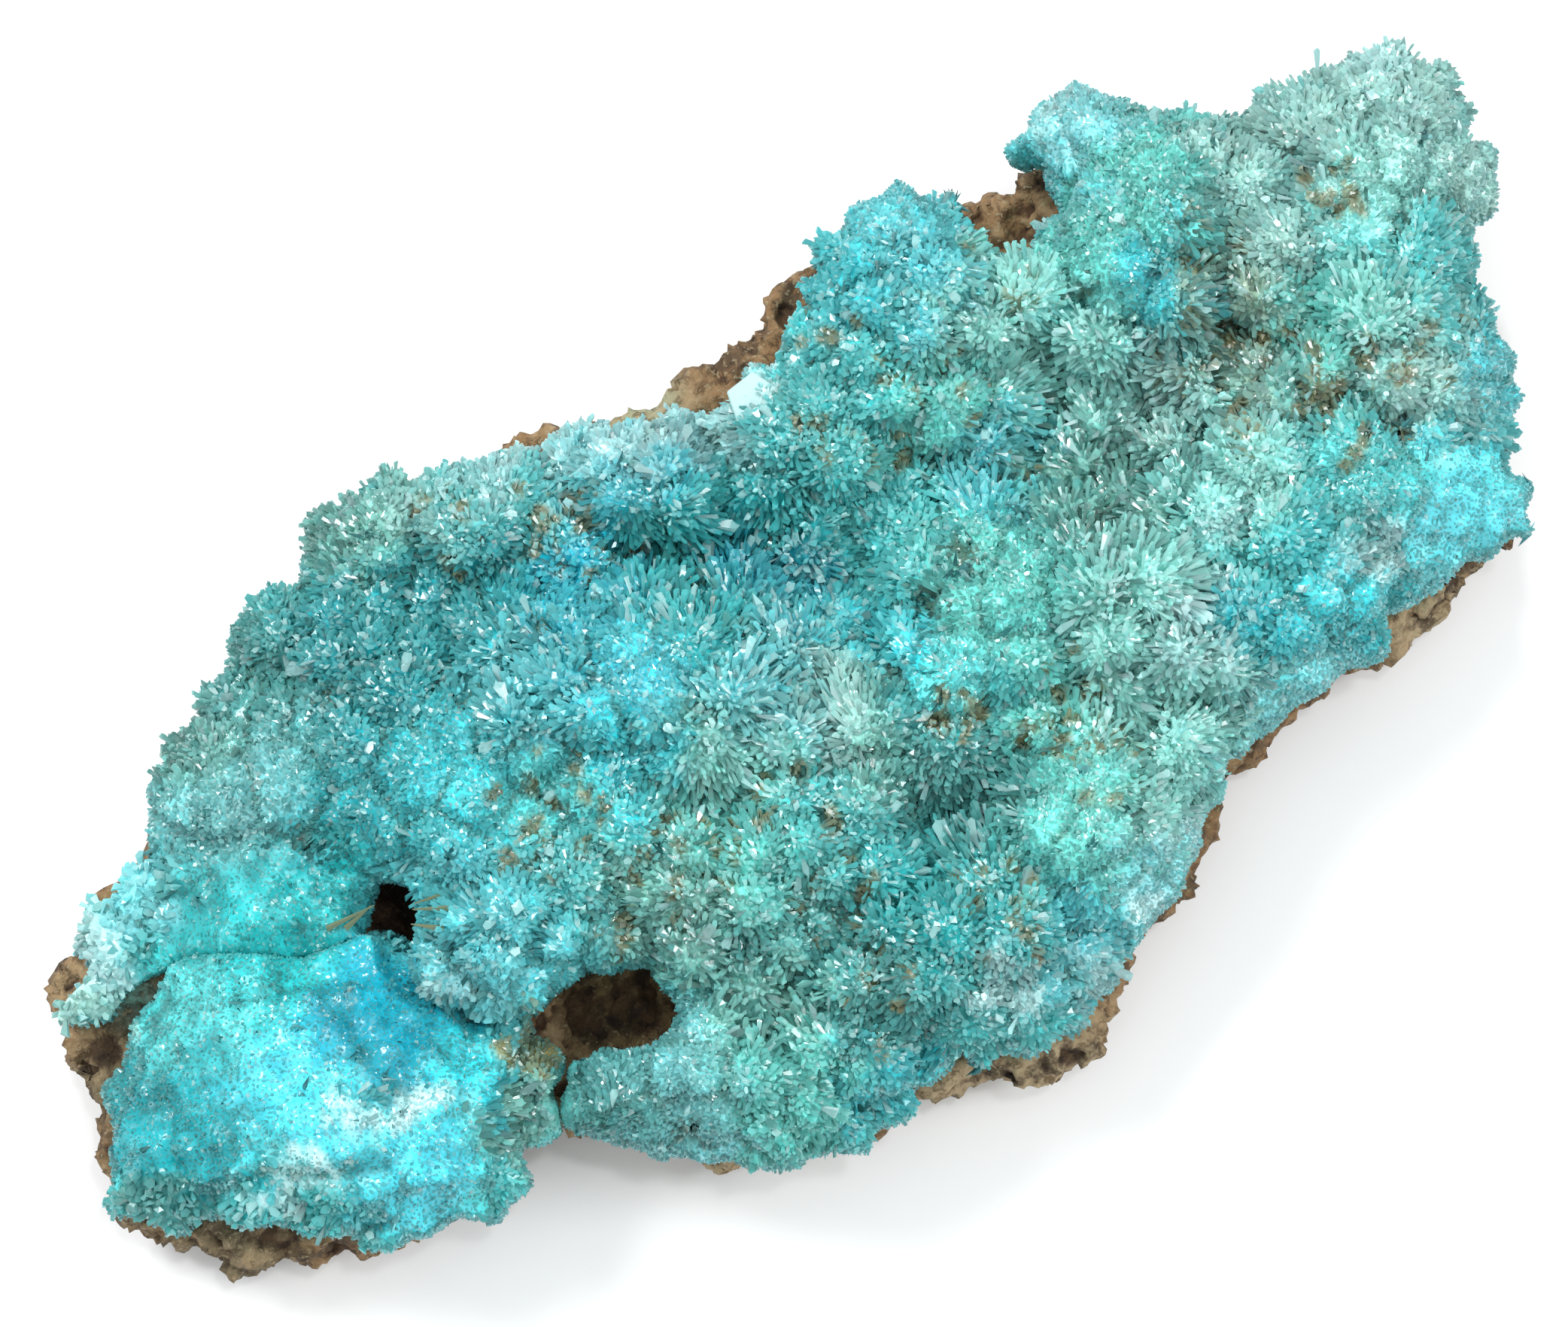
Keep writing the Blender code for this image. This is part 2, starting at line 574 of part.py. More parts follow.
def clear_scene():
    """Removes whatever the scene holds."""
    for obj in list(bpy.data.objects):
        bpy.data.objects.remove(obj, do_unlink=True)


def main():
    """Makes the two pieces of crust and the rock that they grew on."""
    clear_scene()
    parts = bpy.data.collections.new("aragonite")
    bpy.context.scene.collection.children.link(parts)

    crust_free = (
        traced(CRUST_LOWER_EDGE, FOOT_LEVEL)
        + traced(CRUST_RIGHT_EDGE, TOP_LEVEL)
        + traced(CRUST_UPPER_EDGE, TOP_LEVEL)
        + traced(CRUST_LEFT_EDGE, FOOT_LEVEL)
    )
    crust_inner = [
        traced(line, TOP_LEVEL)
        for line in (CRUST_SEAM, HOLE_EDGE, TROUGH_EDGE, NOTCH_EDGE, CRACK_EDGE)
    ]
    lobe_free = traced(LOBE_OUTER_EDGE, FOOT_LEVEL)
    lobe_inner = [traced(line, TOP_LEVEL) for line in (LOBE_CRACK_EDGE, LOBE_SEAM)]

    crust = crust_solid("crystal_crust", CRUST_LUMPS, crust_free, crust_inner, CRUST_SEED)
    lobe = crust_solid("crystal_lobe", LOBE_LUMPS, lobe_free, lobe_inner, LOBE_SEED)
    covers = [crust_free + sum(crust_inner, []), lobe_free + sum(lobe_inner, [])]
    rock = rock_solid("matrix_rock", covers, ROCK_SEED)

    blue = plain_material("blue aragonite", (0.12, 0.56, 0.58), 0.25)
    cyan = plain_material("bright blue aragonite", (0.10, 0.62, 0.68), 0.25)
    brown = plain_material("brown rock", (0.20, 0.12, 0.065), 0.9)
    for piece, material in ((crust, blue), (lobe, cyan), (rock, brown)):
        piece.data.materials.append(material)
        parts.objects.link(piece)


main()
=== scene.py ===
"""The finish of a hand specimen of blue aragonite: sprays of fine crystals on their brown rock.

The solids of the frame give every form its size and place. Here the two pieces of crust get a
rounded body with tens of thousands of crystals that fan out from roots under its surface, and
the rock gets its broken, grainy skin. Lengths are in millimetres until a mesh is made.
"""

import json
import logging
import math
from dataclasses import dataclass, field
from enum import Enum

import bmesh
import bpy
import numpy as np
from mathutils import Matrix, Vector, noise
from mathutils.kdtree import KDTree

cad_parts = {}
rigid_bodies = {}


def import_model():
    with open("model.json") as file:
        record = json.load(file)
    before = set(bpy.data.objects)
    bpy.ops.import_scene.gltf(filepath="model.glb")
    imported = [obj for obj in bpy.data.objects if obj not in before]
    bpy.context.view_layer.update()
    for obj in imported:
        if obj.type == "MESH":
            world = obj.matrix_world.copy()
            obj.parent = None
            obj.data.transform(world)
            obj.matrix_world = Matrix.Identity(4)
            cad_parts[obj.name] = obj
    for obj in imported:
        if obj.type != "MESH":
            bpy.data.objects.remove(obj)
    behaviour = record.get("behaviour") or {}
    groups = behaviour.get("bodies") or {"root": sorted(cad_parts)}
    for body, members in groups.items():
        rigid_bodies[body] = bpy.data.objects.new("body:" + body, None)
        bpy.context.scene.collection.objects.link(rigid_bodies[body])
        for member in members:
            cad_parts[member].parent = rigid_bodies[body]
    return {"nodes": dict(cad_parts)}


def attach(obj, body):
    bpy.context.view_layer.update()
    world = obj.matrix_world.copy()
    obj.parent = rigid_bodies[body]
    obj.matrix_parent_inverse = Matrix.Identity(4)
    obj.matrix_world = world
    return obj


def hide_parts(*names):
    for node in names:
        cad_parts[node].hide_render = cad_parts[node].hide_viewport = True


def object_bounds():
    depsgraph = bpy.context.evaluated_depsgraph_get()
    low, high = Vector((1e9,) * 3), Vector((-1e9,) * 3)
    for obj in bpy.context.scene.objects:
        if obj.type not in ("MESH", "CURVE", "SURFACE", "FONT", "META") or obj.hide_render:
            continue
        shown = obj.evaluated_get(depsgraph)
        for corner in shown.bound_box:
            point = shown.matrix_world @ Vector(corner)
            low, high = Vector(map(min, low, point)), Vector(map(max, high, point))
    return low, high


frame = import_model()

MM = 0.001
CAD_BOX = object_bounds()
BOX_MARGIN = 0.02
LEAST_LENGTH = 0.05
BODY = "root"

log = logging.getLogger("aragonite")


class Tone(Enum):
    """The colours that the crystals and the rock take, as seen on a screen."""

    BRIGHT_CYAN = (72, 202, 218)
    PALE_CYAN = (98, 210, 220)
    CYAN = (56, 200, 210)
    AQUA = (84, 200, 200)
    MINT = (112, 212, 200)
    PALE_MINT = (166, 232, 220)
    TEAL = (38, 178, 180)
    DEEP_TEAL = (18, 144, 152)
    BLUE = (24, 182, 204)
    DEEP_BLUE = (12, 144, 166)
    GREY_CLEAR = (140, 200, 186)
    SMOKE = (162, 190, 172)
    FROST = (208, 240, 240)
    FROST_BLUE = (140, 222, 228)
    TAN = (150, 124, 60)
    OLIVE = (80, 76, 40)
    BROWN = (134, 104, 70)
    DARK_BROWN = (66, 52, 36)
    LIGHT_BROWN = (162, 138, 104)
    LEDGE_GREY = (170, 154, 122)
    ROCK_GREEN = (160, 170, 140)
    CRUMB_GREY = (112, 104, 80)
    NOTCH_BROWN = (112, 98, 62)
    PEARL = (176, 212, 202)
    MOSS = (136, 142, 110)
    TIP = (128, 220, 214)
    GREY_CYAN = (112, 180, 182)
    SEA_GREY = (72, 142, 138)
    HOLLOW = (108, 134, 112)
    PIT = (70, 76, 54)
    SPECKLE = (190, 172, 136)

    @property
    def linear(self) -> tuple[float, float, float]:
        """The linear values that a shader takes."""
        shares = [part / 255.0 for part in self.value]
        return tuple(s / 12.92 if s <= 0.04045 else ((s + 0.055) / 1.055) ** 2.4 for s in shares)

    def mixed_into(self, colours: np.ndarray, share: "np.ndarray | float") -> np.ndarray:
        """Mixes a share of the tone into linear colours."""
        return colours * (1.0 - share) + np.array(self.linear) * share


CLEAR_TONES = (Tone.GREY_CLEAR, Tone.SMOKE)


class Habit(Enum):
    """How the crystals of a place have grown."""

    SMOOTH = "fine and even"
    SUGARY = "short and blunt"
    SPRAY = "fans of middling length"
    NEEDLE = "long thin fans"
    WALL = "fibres that stand on end"
    BLOCK = "coarse glassy columns"


@dataclass(frozen=True)
class HabitSizes:
    """The sizes of one habit, in millimetres.

    Its domes stand so far apart and swell by their relief. The crystals of a dome fan out from a
    root at a depth under the crust and rise above it, or stand on end where the habit is even.
    Softness is how little their facets differ in shade, and sparkle is the share of crystals
    that stay bright and sharp. Lean is how far the root of a dome lies to one side of it, and
    blades is the share of crystals that have grown larger than the rest.
    """

    dome: float
    relief: float
    depth: float
    rise: float
    spacing: float
    width: tuple[float, float]
    unevenness: float
    scatter: float
    softness: float
    shapes: tuple[str, ...]
    even: bool = False
    lean: float = 0.0
    sparkle: float = 0.1
    blades: float = 0.0


POINTED = ("pointed", "petal", "pointed")
BLADED = ("chisel", "petal", "blunt", "chisel")
COLUMNS = ("chisel", "blunt", "chisel")
HABITS = list(Habit)
HABIT_SIZES = {
    Habit.SMOOTH: HabitSizes(
        4.0, 0.15, 6.0, 0.13, 0.19, (0.22, 0.40), 0.04, 0.22, 0.95, POINTED,
        even=True, sparkle=0.035,
    ),
    Habit.SUGARY: HabitSizes(
        3.0, 0.55, 2.2, 0.32, 0.205, (0.26, 0.50), 0.10, 0.26, 0.87, BLADED,
        lean=0.4, sparkle=0.06, blades=0.004,
    ),
    Habit.SPRAY: HabitSizes(
        2.8, 0.85, 1.7, 0.60, 0.22, (0.28, 0.60), 0.22, 0.22, 0.80, BLADED,
        lean=0.5, sparkle=0.08, blades=0.012,
    ),
    Habit.NEEDLE: HabitSizes(
        3.2, 1.0, 1.8, 1.05, 0.22, (0.24, 0.56), 0.40, 0.19, 0.80, BLADED,
        lean=0.7, sparkle=0.10, blades=0.03,
    ),
    Habit.WALL: HabitSizes(
        3.0, 0.2, 4.0, 0.24, 0.21, (0.26, 0.48), 0.10, 0.20, 0.82, BLADED,
        even=True, sparkle=0.07,
    ),
    Habit.BLOCK: HabitSizes(
        2.2, 0.5, 3.0, 0.60, 0.34, (0.40, 0.85), 0.34, 0.26, 0.5, COLUMNS,
        even=True, sparkle=0.2,
    ),
}


def sizes_at(habits: np.ndarray, name: str) -> np.ndarray:
    """Returns one size, by its name, for the habit at each place."""
    return np.array([getattr(HABIT_SIZES[habit], name) for habit in HABITS])[habits]


@dataclass(frozen=True)
class Patch:
    """A round place of the crust, as the view shows it, with its colour and its crystals."""

    across: float
    up: float
    radius: float
    tone: Tone
    habit: Habit = Habit.SPRAY


def patches(habit: Habit, tone: Tone, *places: tuple[float, float, float]) -> tuple[Patch, ...]:
    """Makes patches of one habit and one tone.

    Args:
        habit: How their crystals have grown.
        tone: Their colour.
        places: How far across and up each lies, and its radius.

    Returns:
        The patches.
    """
    return tuple(Patch(*place, tone, habit) for place in places)


CRUST_PATCHES = (
    *patches(Habit.SMOOTH, Tone.BRIGHT_CYAN, (15.0, 13.2, 2.9), (17.0, 9.6, 1.8), (22.6, 8.0, 2.8)),
    *patches(Habit.SMOOTH, Tone.AQUA, (10.8, 16.6, 3.2)),
    *patches(Habit.SMOOTH, Tone.TEAL, (14.8, 18.2, 2.2), (13.8, 21.8, 4.2), (17.0, 23.5, 2.4)),
    *patches(Habit.SMOOTH, Tone.DEEP_BLUE, (19.4, 16.8, 3.2), (22.4, 14.8, 2.4)),
    *patches(Habit.SMOOTH, Tone.CYAN, (24.8, 13.6, 2.0)),
    *patches(Habit.SMOOTH, Tone.DEEP_TEAL, (9.2, 11.0, 3.8), (10.8, 9.6, 1.4), (12.0, 9.2, 1.2)),
    *patches(
        Habit.SMOOTH, Tone.FROST,
        (18.4, 10.8, 0.9), (20.8, 11.3, 0.8), (22.2, 11.6, 0.7), (23.6, 12.0, 0.8),
        (24.4, 18.6, 0.9),
    ),
    *patches(Habit.SMOOTH, Tone.PALE_CYAN, (77.8, 43.2, 3.0)),
    *patches(Habit.SMOOTH, Tone.FROST_BLUE, (22.2, 19.4, 0.9), (26.8, 18.2, 0.9)),
    *patches(Habit.SUGARY, Tone.TAN, (28.4, 14.6, 1.5)),
    *patches(Habit.SUGARY, Tone.GREY_CYAN, (12.5, 28.5, 4.2), (36.2, 12.6, 4.4)),
    *patches(
        Habit.SUGARY, Tone.CYAN,
        (22.8, 29.8, 3.8), (24.6, 27.0, 2.6), (70.6, 38.6, 3.4), (61.0, 56.4, 2.2),
    ),
    *patches(Habit.SUGARY, Tone.BRIGHT_CYAN, (33.8, 34.0, 2.8)),
    *patches(Habit.SUGARY, Tone.AQUA, (29.0, 28.4, 3.0), (51.0, 35.0, 3.0), (72.0, 46.2, 3.0)),
    *patches(
        Habit.SUGARY, Tone.MINT,
        (52.8, 39.6, 3.8), (57.6, 27.2, 3.8), (60.8, 61.4, 3.0), (58.0, 57.6, 2.6),
    ),
    *patches(Habit.SUGARY, Tone.SEA_GREY, (31.6, 11.8, 2.4)),
    *patches(Habit.SUGARY, Tone.PALE_CYAN, (46.8, 59.4, 2.4), (55.2, 61.4, 2.0), (79.0, 50.6, 2.2)),
    *patches(Habit.SUGARY, Tone.FROST_BLUE, (57.2, 64.2, 2.6)),
    *patches(Habit.SUGARY, Tone.PALE_MINT, (73.8, 61.4, 3.0)),
    *patches(Habit.SUGARY, Tone.PEARL, (78.2, 60.6, 2.4)),
    *patches(Habit.SUGARY, Tone.DEEP_TEAL, (17.8, 27.0, 3.0)),
    *patches(Habit.SUGARY, Tone.FROST, (56.4, 65.0, 1.4)),
    *patches(
        Habit.SPRAY, Tone.GREY_CLEAR,
        (27.8, 11.6, 2.0), (10.0, 31.0, 2.6), (35.0, 22.6, 3.0), (46.6, 30.4, 2.6),
        (18.4, 42.6, 2.8), (71.4, 49.6, 2.6),
    ),
    *patches(
        Habit.SPRAY, Tone.DEEP_TEAL,
        (20.0, 33.4, 3.0), (22.5, 38.4, 3.8), (26.5, 40.6, 2.8), (17.6, 36.6, 3.2),
    ),
    *patches(
        Habit.SPRAY, Tone.CYAN,
        (33.8, 31.0, 2.4), (46.6, 37.0, 2.8), (47.6, 13.6, 2.4), (45.0, 55.4, 2.8),
        (66.8, 36.8, 2.2),
    ),
    *patches(Habit.SPRAY, Tone.PALE_CYAN, (26.4, 21.4, 4.4), (57.4, 20.2, 2.4), (48.6, 56.2, 3.0)),
    *patches(
        Habit.SPRAY, Tone.AQUA,
        (30.0, 23.5, 3.0), (43.8, 26.4, 3.4), (25.6, 43.6, 3.2), (43.8, 47.6, 3.0),
        (47.0, 41.0, 3.0), (68.4, 40.6, 2.6), (47.0, 51.6, 3.0), (75.8, 57.0, 2.6),
    ),
    *patches(
        Habit.SPRAY, Tone.MINT,
        (39.6, 25.0, 3.2), (55.6, 34.2, 2.6), (41.6, 12.4, 3.2), (50.0, 49.2, 2.8),
        (70.4, 53.0, 2.4),
    ),
    *patches(
        Habit.SPRAY, Tone.SEA_GREY,
        (43.4, 23.0, 2.6), (13.4, 35.4, 3.0), (50.2, 29.6, 2.8), (47.0, 17.6, 3.0),
    ),
    *patches(Habit.SPRAY, Tone.BLUE, (30.6, 40.2, 3.0)),
    *patches(
        Habit.SPRAY, Tone.PEARL,
        (22.6, 43.2, 2.0), (66.2, 62.6, 2.6), (67.8, 57.4, 2.2), (70.6, 65.0, 2.8),
        (75.0, 65.6, 3.2), (76.0, 50.4, 2.6),
    ),
    *patches(Habit.SPRAY, Tone.BRIGHT_CYAN, (34.0, 45.6, 3.0)),
    *patches(Habit.SPRAY, Tone.FROST_BLUE, (30.2, 46.2, 2.0), (37.2, 48.0, 1.7)),
    *patches(Habit.SPRAY, Tone.TEAL, (39.2, 45.0, 2.6), (51.4, 21.4, 3.2)),
    *patches(
        Habit.SPRAY, Tone.FROST,
        (72.6, 41.4, 1.4), (53.6, 18.4, 1.6), (65.4, 43.8, 1.2), (73.6, 66.8, 1.6),
        (24.8, 44.8, 1.6), (27.2, 45.8, 1.6), (29.6, 46.8, 2.0), (35.6, 48.0, 2.4),
        (38.6, 47.8, 1.8), (33.4, 47.6, 2.2), (58.6, 18.6, 1.4),
    ),
    *patches(Habit.SPRAY, Tone.PALE_MINT, (61.4, 28.6, 2.8), (66.4, 45.0, 2.8)),
    *patches(Habit.SPRAY, Tone.SMOKE, (66.6, 50.6, 2.0)),
    *patches(Habit.SPRAY, Tone.MOSS, (65.0, 57.4, 1.2), (65.6, 55.0, 1.2), (66.0, 52.6, 1.2)),
    *patches(Habit.NEEDLE, Tone.PALE_CYAN, (28.0, 34.2, 3.0), (40.4, 34.0, 3.0), (52.8, 46.0, 2.6)),
    *patches(
        Habit.NEEDLE, Tone.GREY_CLEAR,
        (37.6, 21.4, 2.4), (41.0, 16.6, 2.6), (58.6, 45.0, 3.6),
    ),
    *patches(
        Habit.NEEDLE, Tone.PALE_MINT,
        (38.6, 31.0, 3.0), (60.2, 38.6, 3.4), (60.0, 33.6, 2.8), (64.8, 33.0, 2.8),
        (53.2, 55.6, 2.4), (53.6, 52.4, 2.4), (57.4, 51.0, 2.4), (73.0, 54.2, 2.2),
    ),
    *patches(Habit.NEEDLE, Tone.PEARL, (43.6, 33.6, 2.6), (61.6, 49.6, 2.8)),
    # The teal and deep blue between the large lumps, about 36 to 44 across and 37 to 44 up, are partly
    # the crust's colour and partly painted shade.
    *patches(
        Habit.NEEDLE, Tone.TEAL,
        (36.0, 41.6, 3.0), (39.0, 37.0, 2.2), (42.8, 43.6, 2.6), (47.4, 22.6, 2.4),
    ),
    *patches(Habit.NEEDLE, Tone.DEEP_BLUE, (40.2, 40.4, 3.4)),
    *patches(Habit.NEEDLE, Tone.FROST, (63.6, 37.4, 2.2), (44.6, 31.4, 1.3)),
    *patches(Habit.NEEDLE, Tone.SEA_GREY, (52.4, 28.0, 2.6)),
    *patches(Habit.NEEDLE, Tone.SMOKE, (65.4, 55.6, 2.4)),
    *patches(Habit.NEEDLE, Tone.FROST_BLUE, (41.4, 33.0, 1.6)),
    *patches(
        Habit.WALL, Tone.FROST_BLUE,
        (12.2, 7.6, 0.7), (61.8, 24.2, 2.2), (38.6, 9.2, 1.3), (70.4, 34.8, 2.0), (67.2, 32.6, 1.8),
        (65.6, 30.6, 1.2), (76.8, 39.6, 1.4),
    ),
    *patches(
        Habit.WALL, Tone.FROST,
        (14.8, 7.6, 1.0), (17.2, 7.4, 1.0), (40.2, 50.2, 1.3), (61.6, 22.2, 1.3), (63.2, 26.4, 1.2),
    ),
    *patches(Habit.BLOCK, Tone.SEA_GREY, (8.4, 6.6, 2.0)),
    *patches(Habit.BLOCK, Tone.TEAL, (14.6, 5.6, 2.0)),
    *patches(Habit.BLOCK, Tone.FROST, (5.2, 20.2, 1.8)),
    *patches(Habit.BLOCK, Tone.FROST_BLUE, (7.2, 22.6, 1.8)),
    *patches(Habit.BLOCK, Tone.PEARL, (4.4, 16.8, 1.8)),
)

# Iron stains: across, up and radius of the places where sprays have a tan heart.
STAINS = (
    (29.5, 28.0, 3.4), (36.5, 25.0, 3.4), (41.5, 26.5, 4.0), (44.5, 22.5, 2.6),
    (57.0, 33.0, 3.6), (59.0, 30.5, 2.6), (52.5, 22.0, 3.0), (47.0, 17.8, 2.4),
    (31.5, 42.0, 3.0), (27.0, 43.5, 2.6), (23.5, 41.5, 2.6), (44.2, 52.6, 1.8),
    (49.5, 50.0, 3.0), (54.0, 45.5, 1.8), (47.0, 46.5, 1.6), (44.0, 47.8, 2.0),
    (67.5, 50.5, 3.0), (72.5, 50.0, 3.4), (76.4, 52.5, 2.4), (70.6, 59.6, 1.6),
    (54.8, 55.0, 1.4), (62.5, 52.0, 2.6), (65.5, 56.5, 2.0), (33.0, 22.0, 2.4),
    (53.0, 58.2, 1.4), (66.0, 47.5, 1.6), (28.0, 24.5, 1.8), (50.5, 33.0, 2.2),
)

ROCK_PATCHES = (
    Patch(56.0, 13.5, 4.0, Tone.LEDGE_GREY),
    Patch(50.5, 12.6, 2.6, Tone.LEDGE_GREY),
    Patch(76.0, 37.4, 3.0, Tone.LEDGE_GREY),
    Patch(34.0, 49.2, 2.2, Tone.ROCK_GREEN),
    Patch(30.5, 48.4, 1.6, Tone.LIGHT_BROWN),
    Patch(40.0, 53.5, 3.0, Tone.BROWN),
    Patch(53.0, 58.6, 3.0, Tone.BROWN),
    Patch(54.4, 61.5, 1.6, Tone.DARK_BROWN),
    Patch(32.5, 16.8, 3.0, Tone.NOTCH_BROWN),
    Patch(29.0, 15.0, 1.4, Tone.LIGHT_BROWN),
    # The dark brown at the small hole is painted shade.
    Patch(21.2, 22.4, 2.0, Tone.DARK_BROWN),
    Patch(4.0, 18.0, 2.0, Tone.LIGHT_BROWN),
    Patch(7.0, 17.4, 1.5, Tone.GREY_CLEAR),
    Patch(5.6, 13.0, 2.4, Tone.CRUMB_GREY),
    Patch(6.0, 6.4, 2.4, Tone.CRUMB_GREY),
    Patch(12.0, 3.4, 4.0, Tone.CRUMB_GREY),
    Patch(38.0, 8.0, 3.0, Tone.LEDGE_GREY),
)

# The seam between the lobe and the rest: points of its open stretch, of the stretch where both
# have grown together, and of the crack where they are only near.
SEAM = ((7.6, 18.4), (10.0, 19.7), (13.0, 19.8), (16.2, 19.6), (19.0, 20.8))
GROWN_SEAM = ((19.0, 20.8), (21.6, 20.6), (22.6, 18.4), (24.0, 17.2), (26.0, 16.6), (28.4, 17.0))
CRACK = ((29.8, 14.8), (30.3, 14.0), (29.6, 12.3), (29.9, 10.5), (30.2, 8.6))

# Deep places between the crystals, pressed into the body, with painted shade at their bottom: across,
# up, radius and depth.
PITS = (
    (46.4, 20.1, 0.55, 1.0), (56.8, 18.6, 0.4, 0.8), (31.3, 28.5, 0.35, 0.8),
    (30.1, 27.6, 0.4, 0.8), (51.2, 41.2, 0.9, 0.7), (49.4, 38.5, 0.8, 0.7),
    (44.6, 21.6, 0.6, 0.8), (36.8, 10.5, 0.5, 0.7), (42.6, 29.2, 0.5, 0.8),
    (47.6, 34.6, 0.5, 0.7), (58.4, 42.6, 0.7, 0.8), (63.6, 47.2, 0.6, 0.8),
    (55.8, 48.6, 0.7, 0.9), (49.6, 46.0, 0.6, 0.9), (37.2, 38.6, 0.6, 0.8),
    (28.6, 37.2, 0.5, 0.8), (17.4, 33.6, 0.5, 0.7), (65.4, 53.2, 0.7, 0.9),
    (69.0, 55.2, 0.5, 0.8), (62.8, 58.6, 0.5, 0.7), (57.6, 55.0, 0.6, 0.8),
    (68.6, 62.4, 0.5, 0.8), (74.6, 58.8, 0.5, 0.7), (74.2, 48.2, 0.6, 0.8),
    (54.4, 31.0, 0.5, 0.8), (24.6, 33.4, 0.5, 0.7), (16.0, 26.0, 0.4, 0.6),
)
PIT_REACH = 1.2
PIT_RAGGEDNESS = 0.35
PIT_CORNERS = 3.0


@dataclass(frozen=True)
class View:
    """The eye that looks down on the specimen. Its picture is measured in real millimetres."""

    turn: float = math.radians(-37.0)
    elevation: float = math.radians(78.0)
    distance: float = 300.0
    middle: tuple[float, float] = (41.68, 35.28)
    aim: tuple[float, float, float] = (-1.445, 2.288, 10.0)
    sensor: float = 36.0

    def axes(self) -> tuple[Vector, Vector, Vector]:
        """Returns the view's right, up and backward directions."""
        flat = math.cos(self.elevation)
        right = Vector((math.cos(self.turn), math.sin(self.turn), 0.0))
        back = Vector(
            (math.sin(self.turn) * flat, -math.cos(self.turn) * flat, math.sin(self.elevation))
        )
        return right, back.cross(right), back

    def seen(self, points: np.ndarray) -> np.ndarray:
        """Finds where points show in the view.

        Args:
            points: Rows of x, y and z in millimetres.

        Returns:
            Rows of across and up, in millimetres of the view.
        """
        right, above, back = (np.array(axis) for axis in self.axes())
        offset = points - np.array(self.aim)
        size = self.distance / (self.distance - offset @ back)
        return np.stack([offset @ right * size, offset @ above * size], axis=1) + self.middle

    def eye(self) -> Vector:
        """Returns the eye's place in metres."""
        return (Vector(self.aim) + self.axes()[2] * self.distance) * MM

    def ray(self, across: float, up: float) -> tuple[Vector, Vector]:
        """Returns the eye's place in metres and the way from it to a point of the picture."""
        right, above, back = self.axes()
        way = right * (across - self.middle[0]) + above * (up - self.middle[1])
        return self.eye(), (way - back * self.distance).normalized()

    def add_camera(self) -> bpy.types.Object:
        """Adds the camera at the eye and makes it the scene's."""
        right, above, back = self.axes()
        data = bpy.data.cameras.new("camera")
        data.sensor_fit = "HORIZONTAL"
        data.sensor_width = self.sensor
        data.lens = self.sensor * self.distance / (2.0 * self.middle[0])
        data.clip_start = 0.01
        data.clip_end = 10.0
        camera = bpy.data.objects.new("camera", data)
        turned = Matrix((right, above, back)).transposed().to_4x4()
        camera.matrix_world = Matrix.Translation(self.eye()) @ turned
        bpy.context.scene.collection.objects.link(camera)
        bpy.context.scene.camera = camera
        return camera


class Wire:
    """A socket of a material, which adds Math nodes as it is used in an expression."""

    def __init__(self, graph: "Graph", socket: bpy.types.NodeSocket) -> None:
        """Holds the socket and the graph that it belongs to."""
        self.graph = graph
        self.socket = socket

    def _math(self, operation: str, *values: "Wire | float") -> "Wire":
        """Adds one Math node."""
        settings = {"operation": operation}
        return self.graph.node("ShaderNodeMath", settings, dict(enumerate(values)))

    def __add__(self, other: "Wire | float") -> "Wire":
        """Adds two values."""
        return self._math("ADD", self, other)

    def __mul__(self, other: "Wire | float") -> "Wire":
        """Multiplies two values."""
        return self._math("MULTIPLY", self, other)

    def between(self, low: float, high: float, to_low: float = 0.0, to_high: float = 1.0) -> "Wire":
        """Maps low to high smoothly onto another range, and stops at its ends."""
        return self.graph.node(
            "ShaderNodeMapRange",
            {"interpolation_type": "SMOOTHSTEP"},
            {0: self, 1: low, 2: high, 3: to_low, 4: to_high},
        )


